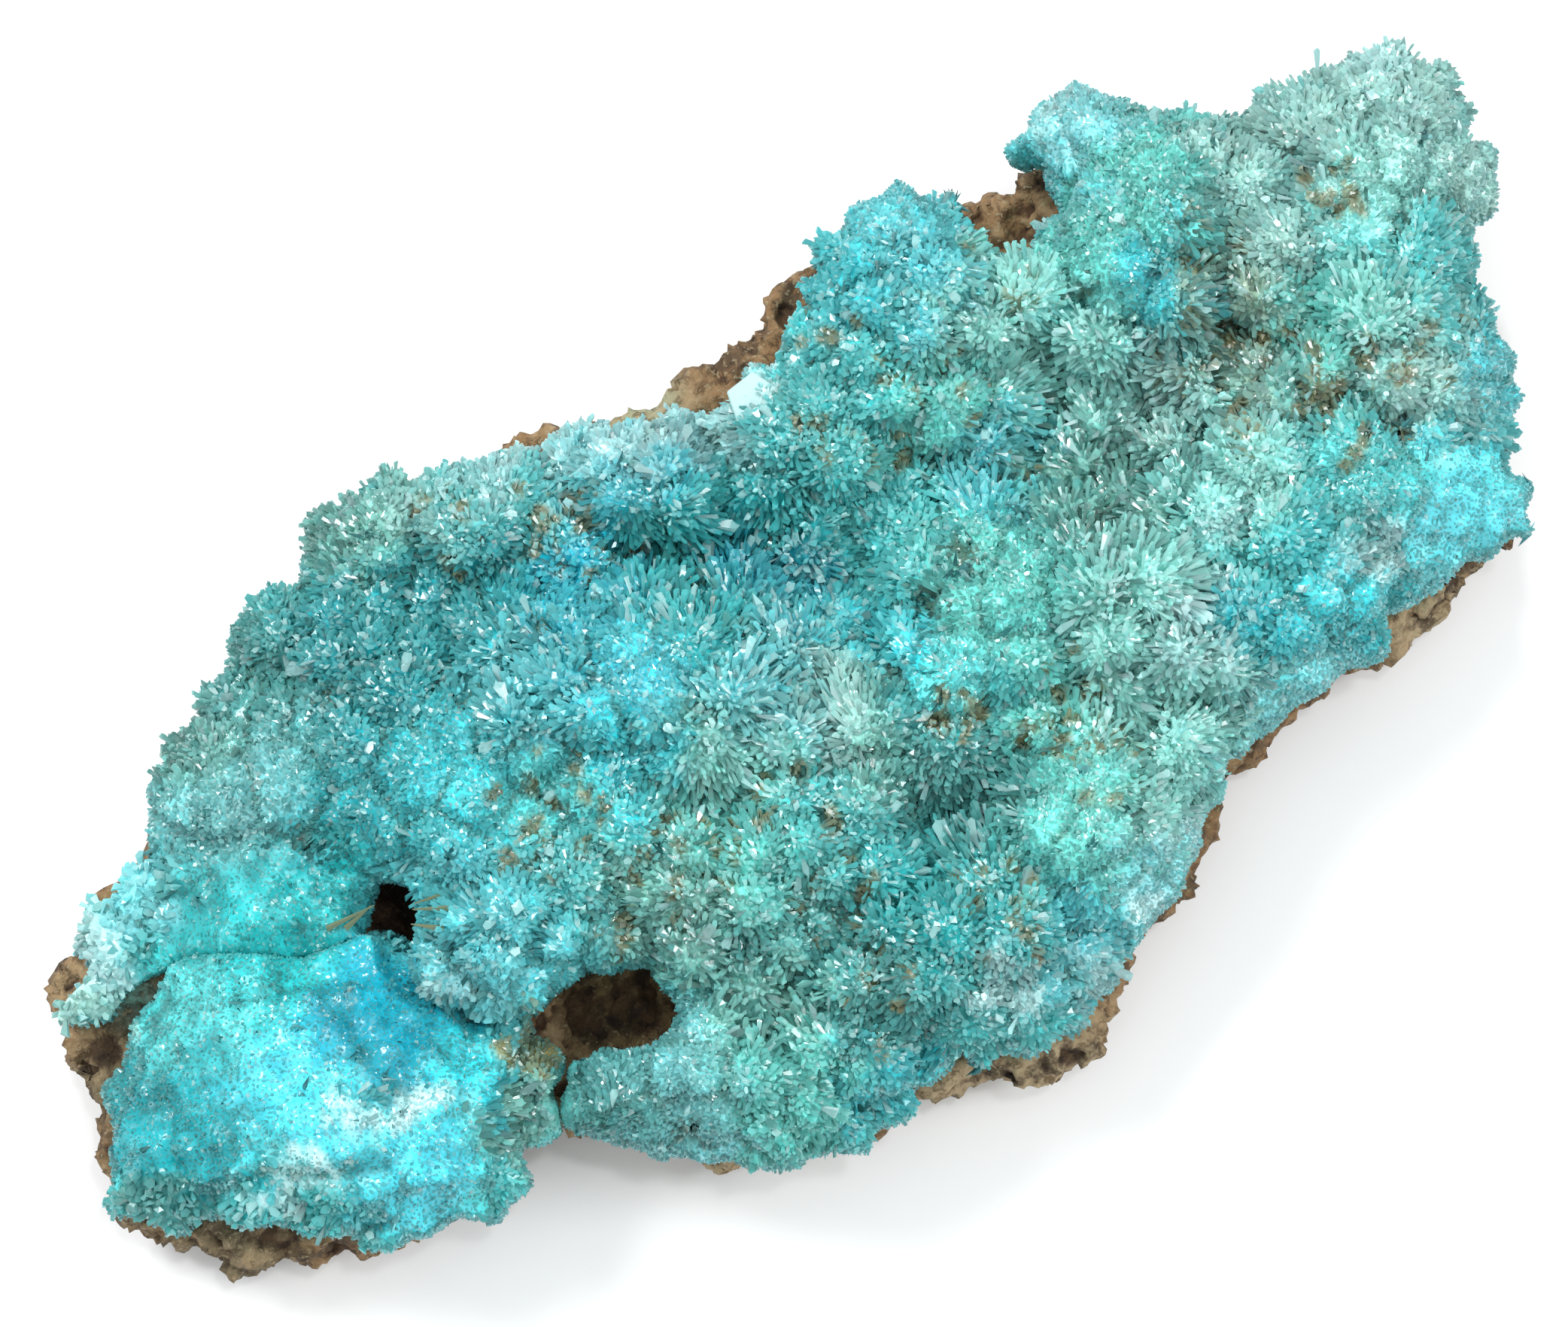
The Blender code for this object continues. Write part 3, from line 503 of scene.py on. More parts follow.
class Graph:
    """The nodes of one material."""

    def __init__(self, name: str) -> None:
        """Makes a material with only its shader and its output."""
        self.material = bpy.data.materials.new(name)
        self.material.use_nodes = True
        self.tree = self.material.node_tree
        self.shader = self.tree.nodes["Principled BSDF"]
        self.place = self.node("ShaderNodeTexCoord", {}, {}, "Object")

    def node(self, kind: str, settings: dict, inputs: dict, output: str | int = 0) -> Wire:
        """Adds a node.

        Args:
            kind: The node's type.
            settings: Its own settings.
            inputs: Values or wires for its sockets, by name or number.
            output: The socket that the result comes from.

        Returns:
            The wire that leaves the node.
        """
        made = self.tree.nodes.new(kind)
        for name, value in settings.items():
            setattr(made, name, value)
        for name, value in inputs.items():
            self.join(made.inputs[name], value)
        return Wire(self, made.outputs[output])

    def join(self, socket: bpy.types.NodeSocket, value: "Wire | float | tuple") -> None:
        """Links a wire to a socket, or sets its value."""
        if isinstance(value, Wire):
            self.tree.links.new(value.socket, socket)
        elif isinstance(value, tuple) and socket.type == "RGBA":
            socket.default_value = (*value, 1.0)
        else:
            socket.default_value = value

    def set(self, **values: "Wire | float | tuple") -> None:
        """Sets the shader's sockets, named with underscores for spaces."""
        for name, value in values.items():
            self.join(self.shader.inputs[name.replace("_", " ").title()], value)

    def noise(
        self, scale: float, detail: float = 2.0, roughness: float = 0.5, output: str | int = 0
    ) -> Wire:
        """Adds a noise pattern fixed to the object, with so many waves a metre."""
        inputs = {"Vector": self.place, "Scale": scale, "Detail": detail, "Roughness": roughness}
        return self.node("ShaderNodeTexNoise", {}, inputs, output)

    def vector(self, operation: str, *values: "Wire | tuple") -> Wire:
        """Adds a Vector Math node."""
        inputs = dict(enumerate(values))
        return self.node("ShaderNodeVectorMath", {"operation": operation}, inputs)

    def scaled(self, value: Wire, scale: float) -> Wire:
        """Multiplies a vector by a number."""
        return self.vector("MULTIPLY", value, (scale, scale, scale))

    def attribute(self, name: str, output: str = "Color") -> Wire:
        """Reads a value that the mesh holds at its points."""
        return self.node("ShaderNodeAttribute", {"attribute_name": name}, {}, output)

    def blend(
        self, way: str, first: "Wire | tuple", second: "Wire | tuple", share: "Wire | float"
    ) -> Wire:
        """Combines two colours in one of the Mix node's ways."""
        settings = {"data_type": "RGBA", "blend_type": way}
        return self.node("ShaderNodeMix", settings, {0: share, 6: first, 7: second}, 2)

    def bump(self, height: Wire, strength: float, depth: float) -> Wire:
        """Turns a height into a shading normal."""
        inputs = {"Strength": strength, "Distance": depth, "Height": height}
        return self.node("ShaderNodeBump", {}, inputs)


@dataclass(frozen=True)
class CrystalFinish:
    """Crystal faces, from frosted to clear, with faint clouds and fine streaks."""

    name: str
    roughness: tuple[float, float]
    transmission: float
    ior: float = 1.6
    cloud_tint: tuple[float, float, float] = (0.86, 0.95, 0.96)
    cloud_scale: float = 700.0
    streak_scale: float = 1400.0
    streak_strength: float = 0.35
    streak_depth: float = 0.00004

    def material(self) -> bpy.types.Material:
        """Makes the material, tinted by the mesh."""
        graph = Graph(self.name)
        cloud = graph.noise(self.cloud_scale)
        cloudy = cloud.between(0.3, 0.7)
        streaks = graph.noise(self.streak_scale, 3.0, 0.6)
        graph.set(
            base_color=graph.blend("MULTIPLY", graph.attribute("tint"), self.cloud_tint, cloudy),
            roughness=cloud.between(0.3, 0.7, *self.roughness),
            normal=graph.bump(streaks, self.streak_strength, self.streak_depth),
        )
        graph.shader.inputs["IOR"].default_value = self.ior
        graph.shader.inputs["Transmission Weight"].default_value = self.transmission
        return graph.material


@dataclass(frozen=True)
class CrustBodyFinish:
    """The dense crust of interlocked grains that shows between crystals."""

    name: str
    roughness: tuple[float, float] = (0.12, 0.4)
    grains: float = 3600.0
    grain_tint: tuple[float, float, float] = (0.72, 0.84, 0.86)
    warp_scale: float = 2500.0
    warp: float = 0.0001
    tilt: float = 0.5

    def material(self) -> bpy.types.Material:
        """Makes the material: each grain has a face of its own tilt and its own tone."""
        graph = Graph(self.name)
        warp = graph.scaled(graph.noise(self.warp_scale, output="Color"), self.warp)
        inputs = {"Vector": graph.vector("ADD", graph.place, warp), "Scale": self.grains}
        cell = graph.node("ShaderNodeTexVoronoi", {}, inputs, "Color")
        tone = graph.node("ShaderNodeSeparateColor", {}, {0: cell}, 0)
        lean = graph.scaled(graph.vector("SUBTRACT", cell, (0.5, 0.5, 0.5)), self.tilt)
        normal = graph.node("ShaderNodeNewGeometry", {}, {}, "Normal")
        graph.set(
            base_color=graph.blend("MULTIPLY", graph.attribute("tint"), self.grain_tint, tone),
            roughness=tone.between(0.0, 1.0, *self.roughness),
            normal=graph.vector("NORMALIZE", graph.vector("ADD", normal, lean)),
        )
        return graph.material


@dataclass(frozen=True)
class RockFinish:
    """Grainy brown rock with paler crumbs, and painted shade in its hollows."""

    name: str
    roughness: float = 0.88
    grain_tint: tuple[float, float, float] = (0.42, 0.37, 0.32)
    pit_shade_tint: tuple[float, float, float] = (0.3, 0.24, 0.2)
    grain_strength: float = 0.7
    grain_depth: float = 0.00025

    def material(self) -> bpy.types.Material:
        """Makes the material from the mesh's tint and the painted shade of its hollows."""
        graph = Graph(self.name)
        broad = graph.noise(420.0, 5.0, 0.66)
        grain = graph.noise(1500.0, 3.0, 0.6)
        speckle = graph.noise(3000.0)
        pit = graph.attribute("pit", "Fac")
        shade = graph.attribute("tint")
        for way, tint, share in (
            ("MIX", Tone.LIGHT_BROWN.linear, broad.between(0.5, 0.62, 0.0, 0.5)),
            ("MIX", Tone.DARK_BROWN.linear, broad.between(0.5, 0.38, 0.0, 0.8)),
            ("MULTIPLY", self.grain_tint, grain.between(0.48, 0.62)),
            ("MIX", Tone.SPECKLE.linear, speckle.between(0.54, 0.7, 0.0, 0.4)),
            # Painted shade: the hollows and the small hole are darkened.
            ("MULTIPLY", self.pit_shade_tint, pit.between(0.18, 0.85)),
        ):
            shade = graph.blend(way, shade, tint, share)
        rough = graph.bump(grain + speckle * 0.5, self.grain_strength, self.grain_depth)
        graph.set(base_color=shade, roughness=self.roughness, normal=rough)
        return graph.material


@dataclass(frozen=True)
class PlainFinish:
    """An even matt finish for the floor."""

    name: str
    colour: tuple[float, float, float]
    roughness: float = 0.8

    def material(self) -> bpy.types.Material:
        """Makes the material."""
        graph = Graph(self.name)
        graph.set(base_color=self.colour, roughness=self.roughness)
        return graph.material


def only(obj: bpy.types.Object) -> None:
    """Selects one object and nothing else."""
    bpy.ops.object.select_all(action="DESELECT")
    bpy.context.view_layer.objects.active = obj
    obj.select_set(True)


def apply_all(obj: bpy.types.Object) -> None:
    """Applies an object's modifiers in order."""
    only(obj)
    for modifier in list(obj.modifiers):
        bpy.ops.object.modifier_apply(modifier=modifier.name)


def evened(node: str, name: str, voxel: float, ease: int) -> bpy.types.Object:
    """Makes a copy of a solid of the frame, with small even faces and worn edges.

    Args:
        node: The solid's name.
        name: The copy's name.
        voxel: The size of the faces in millimetres.
        ease: How many times the points are eased.

    Returns:
        The copy, closed and without a material.
    """
    obj = bpy.data.objects.new(name, frame["nodes"][node].data.copy())
    bpy.context.scene.collection.objects.link(obj)
    only(obj)
    bpy.ops.object.mode_set(mode="EDIT")
    bpy.ops.mesh.select_all(action="SELECT")
    bpy.ops.mesh.remove_doubles(threshold=1e-6)
    bpy.ops.mesh.normals_make_consistent(inside=False)
    bpy.ops.object.mode_set(mode="OBJECT")
    obj.data.materials.clear()
    remesh = obj.modifiers.new("even faces", "REMESH")
    remesh.mode = "VOXEL"
    remesh.voxel_size = voxel * MM
    smooth = obj.modifiers.new("worn down", "SMOOTH")
    smooth.factor = 0.5
    smooth.iterations = ease
    apply_all(obj)
    return obj


def drop_crumbs(obj: bpy.types.Object) -> None:
    """Removes the loose crumbs that a remesh leaves beside the part with the highest point."""
    only(obj)
    bpy.ops.object.mode_set(mode="EDIT")
    bpy.ops.mesh.select_mode(type="VERT")
    bpy.ops.mesh.select_all(action="DESELECT")
    cage = bmesh.from_edit_mesh(obj.data)
    max(cage.verts, key=lambda corner: corner.co.z).select = True
    bmesh.update_edit_mesh(obj.data)
    bpy.ops.mesh.select_linked()
    bpy.ops.mesh.select_all(action="INVERT")
    bpy.ops.mesh.delete(type="VERT")
    bpy.ops.object.mode_set(mode="OBJECT")


def solid_box(margin: float = 0.0) -> tuple[np.ndarray, np.ndarray]:
    """Returns the corners of the solids' box in millimetres, moved inwards by a margin."""
    low, high = (np.array(corner) / MM for corner in CAD_BOX)
    return low + margin, high - margin


def rows_of(items: "bpy.types.bpy_prop_collection", name: str) -> np.ndarray:
    """Reads a vector of each item of a mesh, by its name, one row an item."""
    flat = np.empty(len(items) * 3, np.float32)
    items.foreach_get(name, flat)
    return flat.reshape(-1, 3).astype(float)


def points_of(mesh: bpy.types.Mesh) -> np.ndarray:
    """Returns a mesh's points in millimetres."""
    return rows_of(mesh.vertices, "co") / MM


def normals_of(mesh: bpy.types.Mesh) -> np.ndarray:
    """Returns the normal at each point of a mesh."""
    return rows_of(mesh.vertex_normals, "vector")


def move_points(mesh: bpy.types.Mesh, points: np.ndarray) -> None:
    """Gives a mesh's points new places, in millimetres."""
    mesh.vertices.foreach_set("co", (points * MM).astype(np.float32).ravel())
    mesh.update()


def paint(mesh: bpy.types.Mesh, name: str, colours: np.ndarray) -> None:
    """Stores a colour at each point of a mesh."""
    rows = np.ones((len(colours), 4), np.float32)
    rows[:, :3] = colours
    layer = mesh.color_attributes.new(name, "FLOAT_COLOR", "POINT")
    layer.data.foreach_set("color", rows.ravel())


def tint_evenly(obj: bpy.types.Object, tone: Tone) -> None:
    """Gives all of an object's points one tone."""
    paint(obj.data, "tint", np.tile(tone.linear, (len(obj.data.vertices), 1)))


def unit(rows: np.ndarray) -> np.ndarray:
    """Scales each vector to a length of one."""
    return rows / np.maximum(np.linalg.norm(rows, axis=-1, keepdims=True), 1e-9)


def kept_apart(points: np.ndarray, spacing: np.ndarray) -> np.ndarray:
    """Thins points so that none lies nearer to an earlier one than its spacing.

    Args:
        points: Rows of x, y and z.
        spacing: The least distance round each point.

    Returns:
        The numbers of the points that stay.
    """
    tree = tree_of(points)
    free = np.ones(len(points), bool)
    kept = []
    for number, point in enumerate(points):
        if not free[number]:
            continue
        kept.append(number)
        for _, other, _ in tree.find_range(point, spacing[number]):
            free[other] = False
    return np.array(kept)


def tree_of(points: np.ndarray) -> KDTree:
    """Returns a tree that finds the nearest of some points."""
    tree = KDTree(len(points))
    for number, point in enumerate(points):
        tree.insert(point, number)
    tree.balance()
    return tree


@dataclass(frozen=True)
class Palette:
    """Blends the colours of patches into one another over the view."""

    patches: tuple[Patch, ...]
    ground: Tone
    ground_share: float = 0.04
    edge: float = 2.1
    faintest: float = 0.02

    def shares(self, seen: np.ndarray) -> np.ndarray:
        """Returns how much each patch has a say at each place, one column a patch."""
        centres = np.array([(patch.across, patch.up) for patch in self.patches])
        radii = np.array([patch.radius for patch in self.patches])
        away = np.linalg.norm(seen[:, None] - centres, axis=2) / radii
        return np.exp(-self.edge * away**2)

    def colours(self, seen: np.ndarray) -> np.ndarray:
        """Returns the linear colour at each place of the view."""
        tones = np.array([patch.tone.linear for patch in self.patches])
        shares = self.shares(seen)
        total = shares.sum(1, keepdims=True) + self.ground_share
        ground = np.array(self.ground.linear) * self.ground_share
        return (shares @ tones + ground) / total

    def clearness(self, seen: np.ndarray) -> np.ndarray:
        """Returns how far each place of the view belongs to patches of clear crystals."""
        clear = np.array([patch.tone in CLEAR_TONES for patch in self.patches])
        shares = self.shares(seen)
        return shares[:, clear].sum(1) / (shares.sum(1) + self.ground_share)

    def habits(self, seen: np.ndarray) -> np.ndarray:
        """Returns the number of the habit that rules at each place, in the order of Habit."""
        owners = np.array([HABITS.index(patch.habit) for patch in self.patches])
        shares = self.shares(seen)
        habits = owners[shares.argmax(1)]
        habits[shares.max(1) < self.faintest] = HABITS.index(Habit.SPRAY)
        return habits


def line_offsets(places: np.ndarray, line: tuple) -> tuple[np.ndarray, np.ndarray]:
    """Finds how places of the view lie beside a line.

    Args:
        places: Rows of across and up.
        line: The line's points.

    Returns:
        Each place's distance from the line, and the way there.
    """
    ends = np.array(line)
    start, along = ends[:-1], np.diff(ends, axis=0)
    offset = places[:, None] - start
    share = np.clip((offset * along).sum(2) / (along**2).sum(1), 0.0, 1.0)
    toward = share[..., None] * along - offset
    away = np.linalg.norm(toward, axis=2)
    nearest = away.argmin(1)
    rows = np.arange(len(places))
    return away[rows, nearest], toward[rows, nearest]


def pit_shares(seen: np.ndarray) -> tuple[np.ndarray, np.ndarray]:
    """Finds how far places of the view lie inside the pits.

    Args:
        seen: Rows of across and up.

    Returns:
        How near each is to the middle of a pit, from 0 to 1, and how deep it is pressed in.
    """
    share = np.zeros(len(seen))
    depth = np.zeros(len(seen))
    for across, up, radius, deep in PITS:
        offset = seen - (across, up)
        turn = np.arctan2(offset[:, 1], offset[:, 0])
        edge = radius * PIT_REACH * (1.0 + PIT_RAGGEDNESS * np.sin(PIT_CORNERS * turn + across))
        near = np.clip(1.0 - np.linalg.norm(offset, axis=1) / edge, 0.0, 1.0)
        share = np.maximum(share, near)
        depth = np.maximum(depth, deep * np.sqrt(near))
    return share, depth


@dataclass(frozen=True)
class Shape:
    """One crystal a unit wide, root down, that is copied many times."""

    points: np.ndarray
    triangles: np.ndarray


@dataclass
class ShapeBench:
    """Models each shape of crystal once: a spindle whose thin root stays in the crust."""

    height: float = 4.0
    head: float = 0.5

    def _start(self, sides: int, tip: float) -> None:
        """Adds a prism that widens from a root on the origin, and edits it.

        Args:
            sides: How many sides it has.
            tip: How much of its height is left for the tip.
        """
        height = self.height - tip
        bpy.ops.object.select_all(action="DESELECT")
        bpy.ops.mesh.primitive_cone_add(
            vertices=sides, radius1=0.0, radius2=self.head, depth=height, location=(0, 0, height / 2.0)
        )
        bpy.ops.object.transform_apply(location=True, rotation=True, scale=True)
        bpy.ops.object.mode_set(mode="EDIT")
        bpy.ops.mesh.select_all(action="DESELECT")

    def _select_top(self) -> None:
        """Selects the face that points up."""
        bpy.ops.mesh.select_mode(type="FACE")
        cage = bmesh.from_edit_mesh(bpy.context.object.data)
        for face in cage.faces:
            face.select = face.normal.z > 0.9
        bmesh.update_edit_mesh(bpy.context.object.data)

    def _tip(self, rise: float, spread: tuple[float, float], shift: tuple[float, float]) -> None:
        """Extrudes the top face to the crystal's full height and narrows it.

        Args:
            rise: How far it is raised.
            spread: What is left of its size in X and Y.
            shift: How far it moves sideways.
        """
        self._select_top()
        bpy.ops.mesh.extrude_region_move(TRANSFORM_OT_translate={"value": (*shift, rise)})
        bpy.ops.transform.resize(value=(*spread, 1.0), center_override=(*shift, self.height))

    def _finish(self) -> Shape:
        """Turns the edited object into a shape and removes it."""
        bpy.ops.mesh.select_all(action="SELECT")
        bpy.ops.mesh.remove_doubles(threshold=0.01)
        bpy.ops.mesh.quads_convert_to_tris()
        bpy.ops.mesh.normals_make_consistent(inside=False)
        bpy.ops.object.mode_set(mode="OBJECT")
        obj = bpy.context.object
        points = points_of(obj.data) * MM
        triangles = np.array([list(face.vertices) for face in obj.data.polygons])
        bpy.data.objects.remove(obj, do_unlink=True)
        log.info("crystal shape: %d points, %d triangles", len(points), len(triangles))
        return Shape(points, triangles)

    def pointed(self) -> Shape:
        """A square crystal with a low point to one side."""
        self._start(4, 0.4)
        self._tip(0.4, (0.001, 0.001), (0.18, 0.06))
        return self._finish()

    def chisel(self) -> Shape:
        """A square crystal that two faces close in an edge."""
        self._start(4, 0.4)
        self._tip(0.4, (0.001, 0.75), (0.06, 0.0))
        return self._finish()

    def blunt(self) -> Shape:
        """A five-sided crystal cut off aslant."""
        self._start(5, -0.4)
        bpy.ops.mesh.select_all(action="SELECT")
        bpy.ops.mesh.bisect(
            plane_co=(0.0, 0.0, self.height - 0.2),
            plane_no=(0.42, 0.14, 0.9),
            use_fill=True,
            clear_outer=True,
        )
        return self._finish()

    def petal(self) -> Shape:
        """A blade with a long point."""
        self._start(4, 1.0)
        self._tip(1.0, (0.001, 0.001), (0.14, 0.05))
        return self._finish()

    def all(self) -> dict[str, Shape]:
        """Returns every shape by its name."""
        return {
            "pointed": self.pointed(),
            "chisel": self.chisel(),
            "blunt": self.blunt(),
            "petal": self.petal(),
        }


@dataclass
class CrustBody:
    """The rounded body that the crystals of one piece of crust grow from.

    Near a seam only its steep walls move, whose normals rise less than the flattest, and its pits
    are pressed in where it faces up. Its glow is painted light: how much lighter than its crystals
    it is, for the light that they let through.
    """

    node: str
    name: str
    view: View
    finish: CrustBodyFinish
    voxel: float = 0.45
    ease: int = 3
    shrink: float = 0.24
    glow: float = 1.22
    seam_width: float = 1.4
    seam_edge: float = 0.4
    seam_gap: float = 0.04
    crack_gap: float = 0.3
    furthest: float = 1.6
    flattest: float = 0.95
    steep_range: float = 0.3
    pit_slope: float = 0.2

    def build(self) -> bpy.types.Object:
        """Makes the body from a copy of its solid, with closed seams and pressed pits."""
        obj = evened(self.node, self.name, self.voxel, self.ease)
        inwards = obj.modifiers.new("inwards", "DISPLACE")
        inwards.mid_level = 0.0
        inwards.strength = -self.shrink * MM
        apply_all(obj)
        drop_crumbs(obj)
        self._close_seam(obj, SEAM, self.seam_gap)
        self._close_seam(obj, CRACK, self.crack_gap)
        self._close_seam(obj, GROWN_SEAM, -self.seam_gap)
        self._press_pits(obj)
        bpy.ops.object.shade_smooth()
        return obj

    def _close_seam(self, obj: bpy.types.Object, line: tuple, gap: float) -> None:
        """Moves the walls along a line of the view together.

        Args:
            obj: The body.
            line: The line's points.
            gap: How far from the line each wall stops, or how far past it where negative.
        """
        points = points_of(obj.data)
        facing = normals_of(obj.data)
        away, toward = line_offsets(self.view.seen(points), line)
        near = np.clip((self.seam_width - away) / (self.seam_width * self.seam_edge), 0.0, 1.0)
        steep = np.clip((self.flattest - facing[:, 2]) / self.steep_range, 0.0, 1.0)
        reach = np.clip(1.0 - gap / np.maximum(away, 1e-2), 0.0, self.furthest)
        right = np.array(self.view.axes()[0])
        ahead = np.cross((0.0, 0.0, 1.0), right)
        moved = toward[:, :1] * right + toward[:, 1:] * ahead
        move_points(obj.data, points + moved * (near * steep * reach)[:, None])

    def _press_pits(self, obj: bpy.types.Object) -> None:
        """Presses the pits into the body."""
        points = points_of(obj.data)
        facing = normals_of(obj.data)
        _, depth = pit_shares(self.view.seen(points))
        points -= facing * (depth * (facing[:, 2] > self.pit_slope))[:, None]
        move_points(obj.data, points)

    def dress(self, obj: bpy.types.Object, growth: "Growth") -> None:
        """Tints the body like its crystals, lightened by painted light for the light that they let
        through.
        """
        points = points_of(obj.data)
        # Painted light: the body is made lighter than its crystals.
        colours = growth.tones(points, self.view.seen(points)) * self.glow
        paint(obj.data, "tint", np.clip(growth.stained(colours, points), 0.0, 1.0))
        obj.data.materials.append(self.finish.material())


@dataclass
class Sites:
    """Where crystals stand, one to a row of each array.

    Each has its place, the normal there, where it shows in the view, a little astray, the number
    of its habit, the number of its dome, and whether it stands at an open seam.
    """

    places: np.ndarray
    facing: np.ndarray
    seen: np.ndarray
    habits: np.ndarray
    owners: np.ndarray
    at_seam: np.ndarray

    def size(self, name: str) -> np.ndarray:
        """Returns one size of each crystal's habit, by its name."""
        return sizes_at(self.habits, name)


@dataclass
class Growth:
    """The crystals that grow on one body of crust.

    Densities are counts a square millimetre, slopes are the rise of a normal, and a pair is the
    range that a value is drawn from. Waves and drifts are pairs of a scale and a strength.
    """

    body: bpy.types.Object
    palette: Palette
    view: View
    shapes: dict[str, Shape]
    seed: int
    dome_density: float = 3.0
    dome_scales: tuple[float, float] = (0.5, 1.5)
    dome_reliefs: tuple[float, float] = (0.6, 1.2)
    dome_leans: tuple[float, float] = (0.2, 1.0)
    dome_tones: tuple[float, float] = (-0.1, 0.1)
    dome_edge: float = 0.8
    crease: float = 0.5
    valley: float = 0.6
    valley_shade: float = 0.8
    seam_width: float = 1.3
    seam_calm: float = 0.3
    seam_lift: tuple[float, float, float] = (0.0, 0.0, 0.8)
    lowest_slope: float = -0.8
    slope_range: float = 0.5
    wall_slope: float = 0.42
    candidates: float = 85.0
    spacings: tuple[float, float] = (0.8, 1.2)
    stray: float = 0.3
    sink: float = 0.8
    lesser_lean: float = 0.4
    flats: tuple[float, float] = (0.35, 0.85)
    pit_shortening: float = 1.6
    shortest: float = 0.15
    blade_slope: float = 0.6
    blade_pit: float = 0.05
    blade_widths: tuple[float, float] = (1.1, 1.6)
    blade_lengths: tuple[float, float] = (0.2, 0.8)
    broad_waves: tuple[float, float] = (0.55, 0.34)
    broad_shift: tuple[float, float, float] = (7.0, 0.0, 0.0)
    fine_waves: tuple[float, float] = (1.9, 0.26)
    drifts: tuple[tuple[float, float], ...] = ((0.42, 2.2), (1.5, 0.9))
    drift_seed: int = 2
    flecks: float = 0.35
    brightness: tuple[float, float] = (0.92, 1.08)
    valley_grey_share: float = 0.5
    valley_grey_contrast: float = 1.6
    pit_shade: float = 0.85
    rim_slope: float = 0.45
    rim_share: float = 0.65
    frosted_share: float = 0.05
    frost: float = 0.6
    clear_share: float = 0.6
    mark_density: float = 12.0
    marks: tuple[int, int] = (7, 14)
    marked_radius: float = 2.0
    mark_radius: tuple[float, float] = (0.16, 0.35)
    mark_parts: int = 3
    mark_step: float = 0.3
    mark_contrast: float = 1.8
    mark_cover: float = 0.75
    rng: np.random.Generator = field(init=False)

    def __post_init__(self) -> None:
        """Starts the random numbers of this growth and places its domes and its stains."""
        self.rng = np.random.default_rng(self.seed)
        noise.seed_set(self.drift_seed)
        self._place_domes()
        self._raise_domes()
        self._place_marks()

    def _scatter(self, density: float) -> tuple[np.ndarray, np.ndarray]:
        """Scatters places over the body.

        Args:
            density: How many places a square millimetre gets.

        Returns:
            The places and the normals there, without those on the underside.
        """
        mesh = self.body.data
        mesh.calc_loop_triangles()
        corners = np.empty(len(mesh.loop_triangles) * 3, np.int32)
        mesh.loop_triangles.foreach_get("vertices", corners)
        corners = corners.reshape(-1, 3)
        points = points_of(mesh)
        normals = normals_of(mesh)
        a, b, c = (points[corners[:, k]] for k in range(3))
        areas = np.linalg.norm(np.cross(b - a, c - a), axis=1) / 2.0
        areas[normals[corners].mean(1)[:, 2] < self.lowest_slope] = 0.0
        count = int(areas.sum() * density)
        chosen = self.rng.choice(len(areas), count, p=areas / areas.sum())
        first = np.sqrt(self.rng.random(count))
        second = self.rng.random(count)
        shares = np.stack([1.0 - first, first * (1.0 - second), first * second], axis=1)
        places = (points[corners[chosen]] * shares[..., None]).sum(1)
        facing = unit((normals[corners[chosen]] * shares[..., None]).sum(1))
        return places, facing

    def _place_domes(self) -> None:
        """Chooses where domes of crystals stand on the body."""
        places, facing = self._scatter(self.dome_density)
        habits = self.palette.habits(self.view.seen(places))
        scale = self.rng.uniform(*self.dome_scales, len(places))
        size = sizes_at(habits, "dome") * scale
        kept = kept_apart(places, size)
        habits, count = habits[kept], len(kept)
        self.domes, self.dome_facing = places[kept], facing[kept]
        self.dome_scale, self.dome_size = scale[kept], size[kept]
        self.dome_relief = sizes_at(habits, "relief") * self.rng.uniform(*self.dome_reliefs, count)
        self.dome_tree = tree_of(self.domes)
        self.dome_tone = self.rng.uniform(*self.dome_tones, count)
        sideways = unit(np.cross(self.dome_facing, self.rng.normal(0.0, 1.0, (count, 3))))
        lean = sizes_at(habits, "lean") * self.rng.uniform(*self.dome_leans, count)
        self.dome_root = self.domes + sideways * (lean * self.dome_scale)[:, None]

    def _raise_domes(self) -> None:
        """Swells the body round each dome, so that creases run between them."""
        points = points_of(self.body.data)
        facing = normals_of(self.body.data)
        owners, gap, _ = self._near_domes(points)
        inside = np.clip(gap / (self.dome_size[owners] * self.dome_edge), 0.0, 1.0)
        rounded = 1.0 - (1.0 - inside) ** 2
        away, _ = line_offsets(self.view.seen(points), SEAM)
        fade = np.clip(away / self.seam_width - self.seam_calm, 0.0, 1.0)
        fade *= np.clip((facing[:, 2] - self.lowest_slope) / self.slope_range, 0.0, 1.0)
        lift = self.dome_relief[owners] * (rounded - self.crease) * fade
        raised = points + facing * lift[:, None]
        move_points(self.body.data, np.clip(raised, *solid_box(BOX_MARGIN)))

    def _place_marks(self) -> None:
        """Chooses where iron has stained the crystals in small irregular marks."""
        places, _ = self._scatter(self.mark_density)
        seen = self.view.seen(places)
        chosen, radii = [], []
        for across, up, radius in STAINS:
            near = np.flatnonzero(np.linalg.norm(seen - (across, up), axis=1) < radius)
            if not len(near):
                continue
            count = int(self.rng.integers(*self.marks) * radius / self.marked_radius)
            for number in self.rng.choice(near, min(count, len(near)), replace=False):
                step = self.rng.normal(0.0, self.mark_step, 3)
                for part in range(self.mark_parts):
                    chosen.append(places[number] + step * part)
                    radii.append(self.rng.uniform(*self.mark_radius))
        self.mark_radii = np.array(radii)
        self.mark_tree = tree_of(np.array(chosen).reshape(-1, 3))

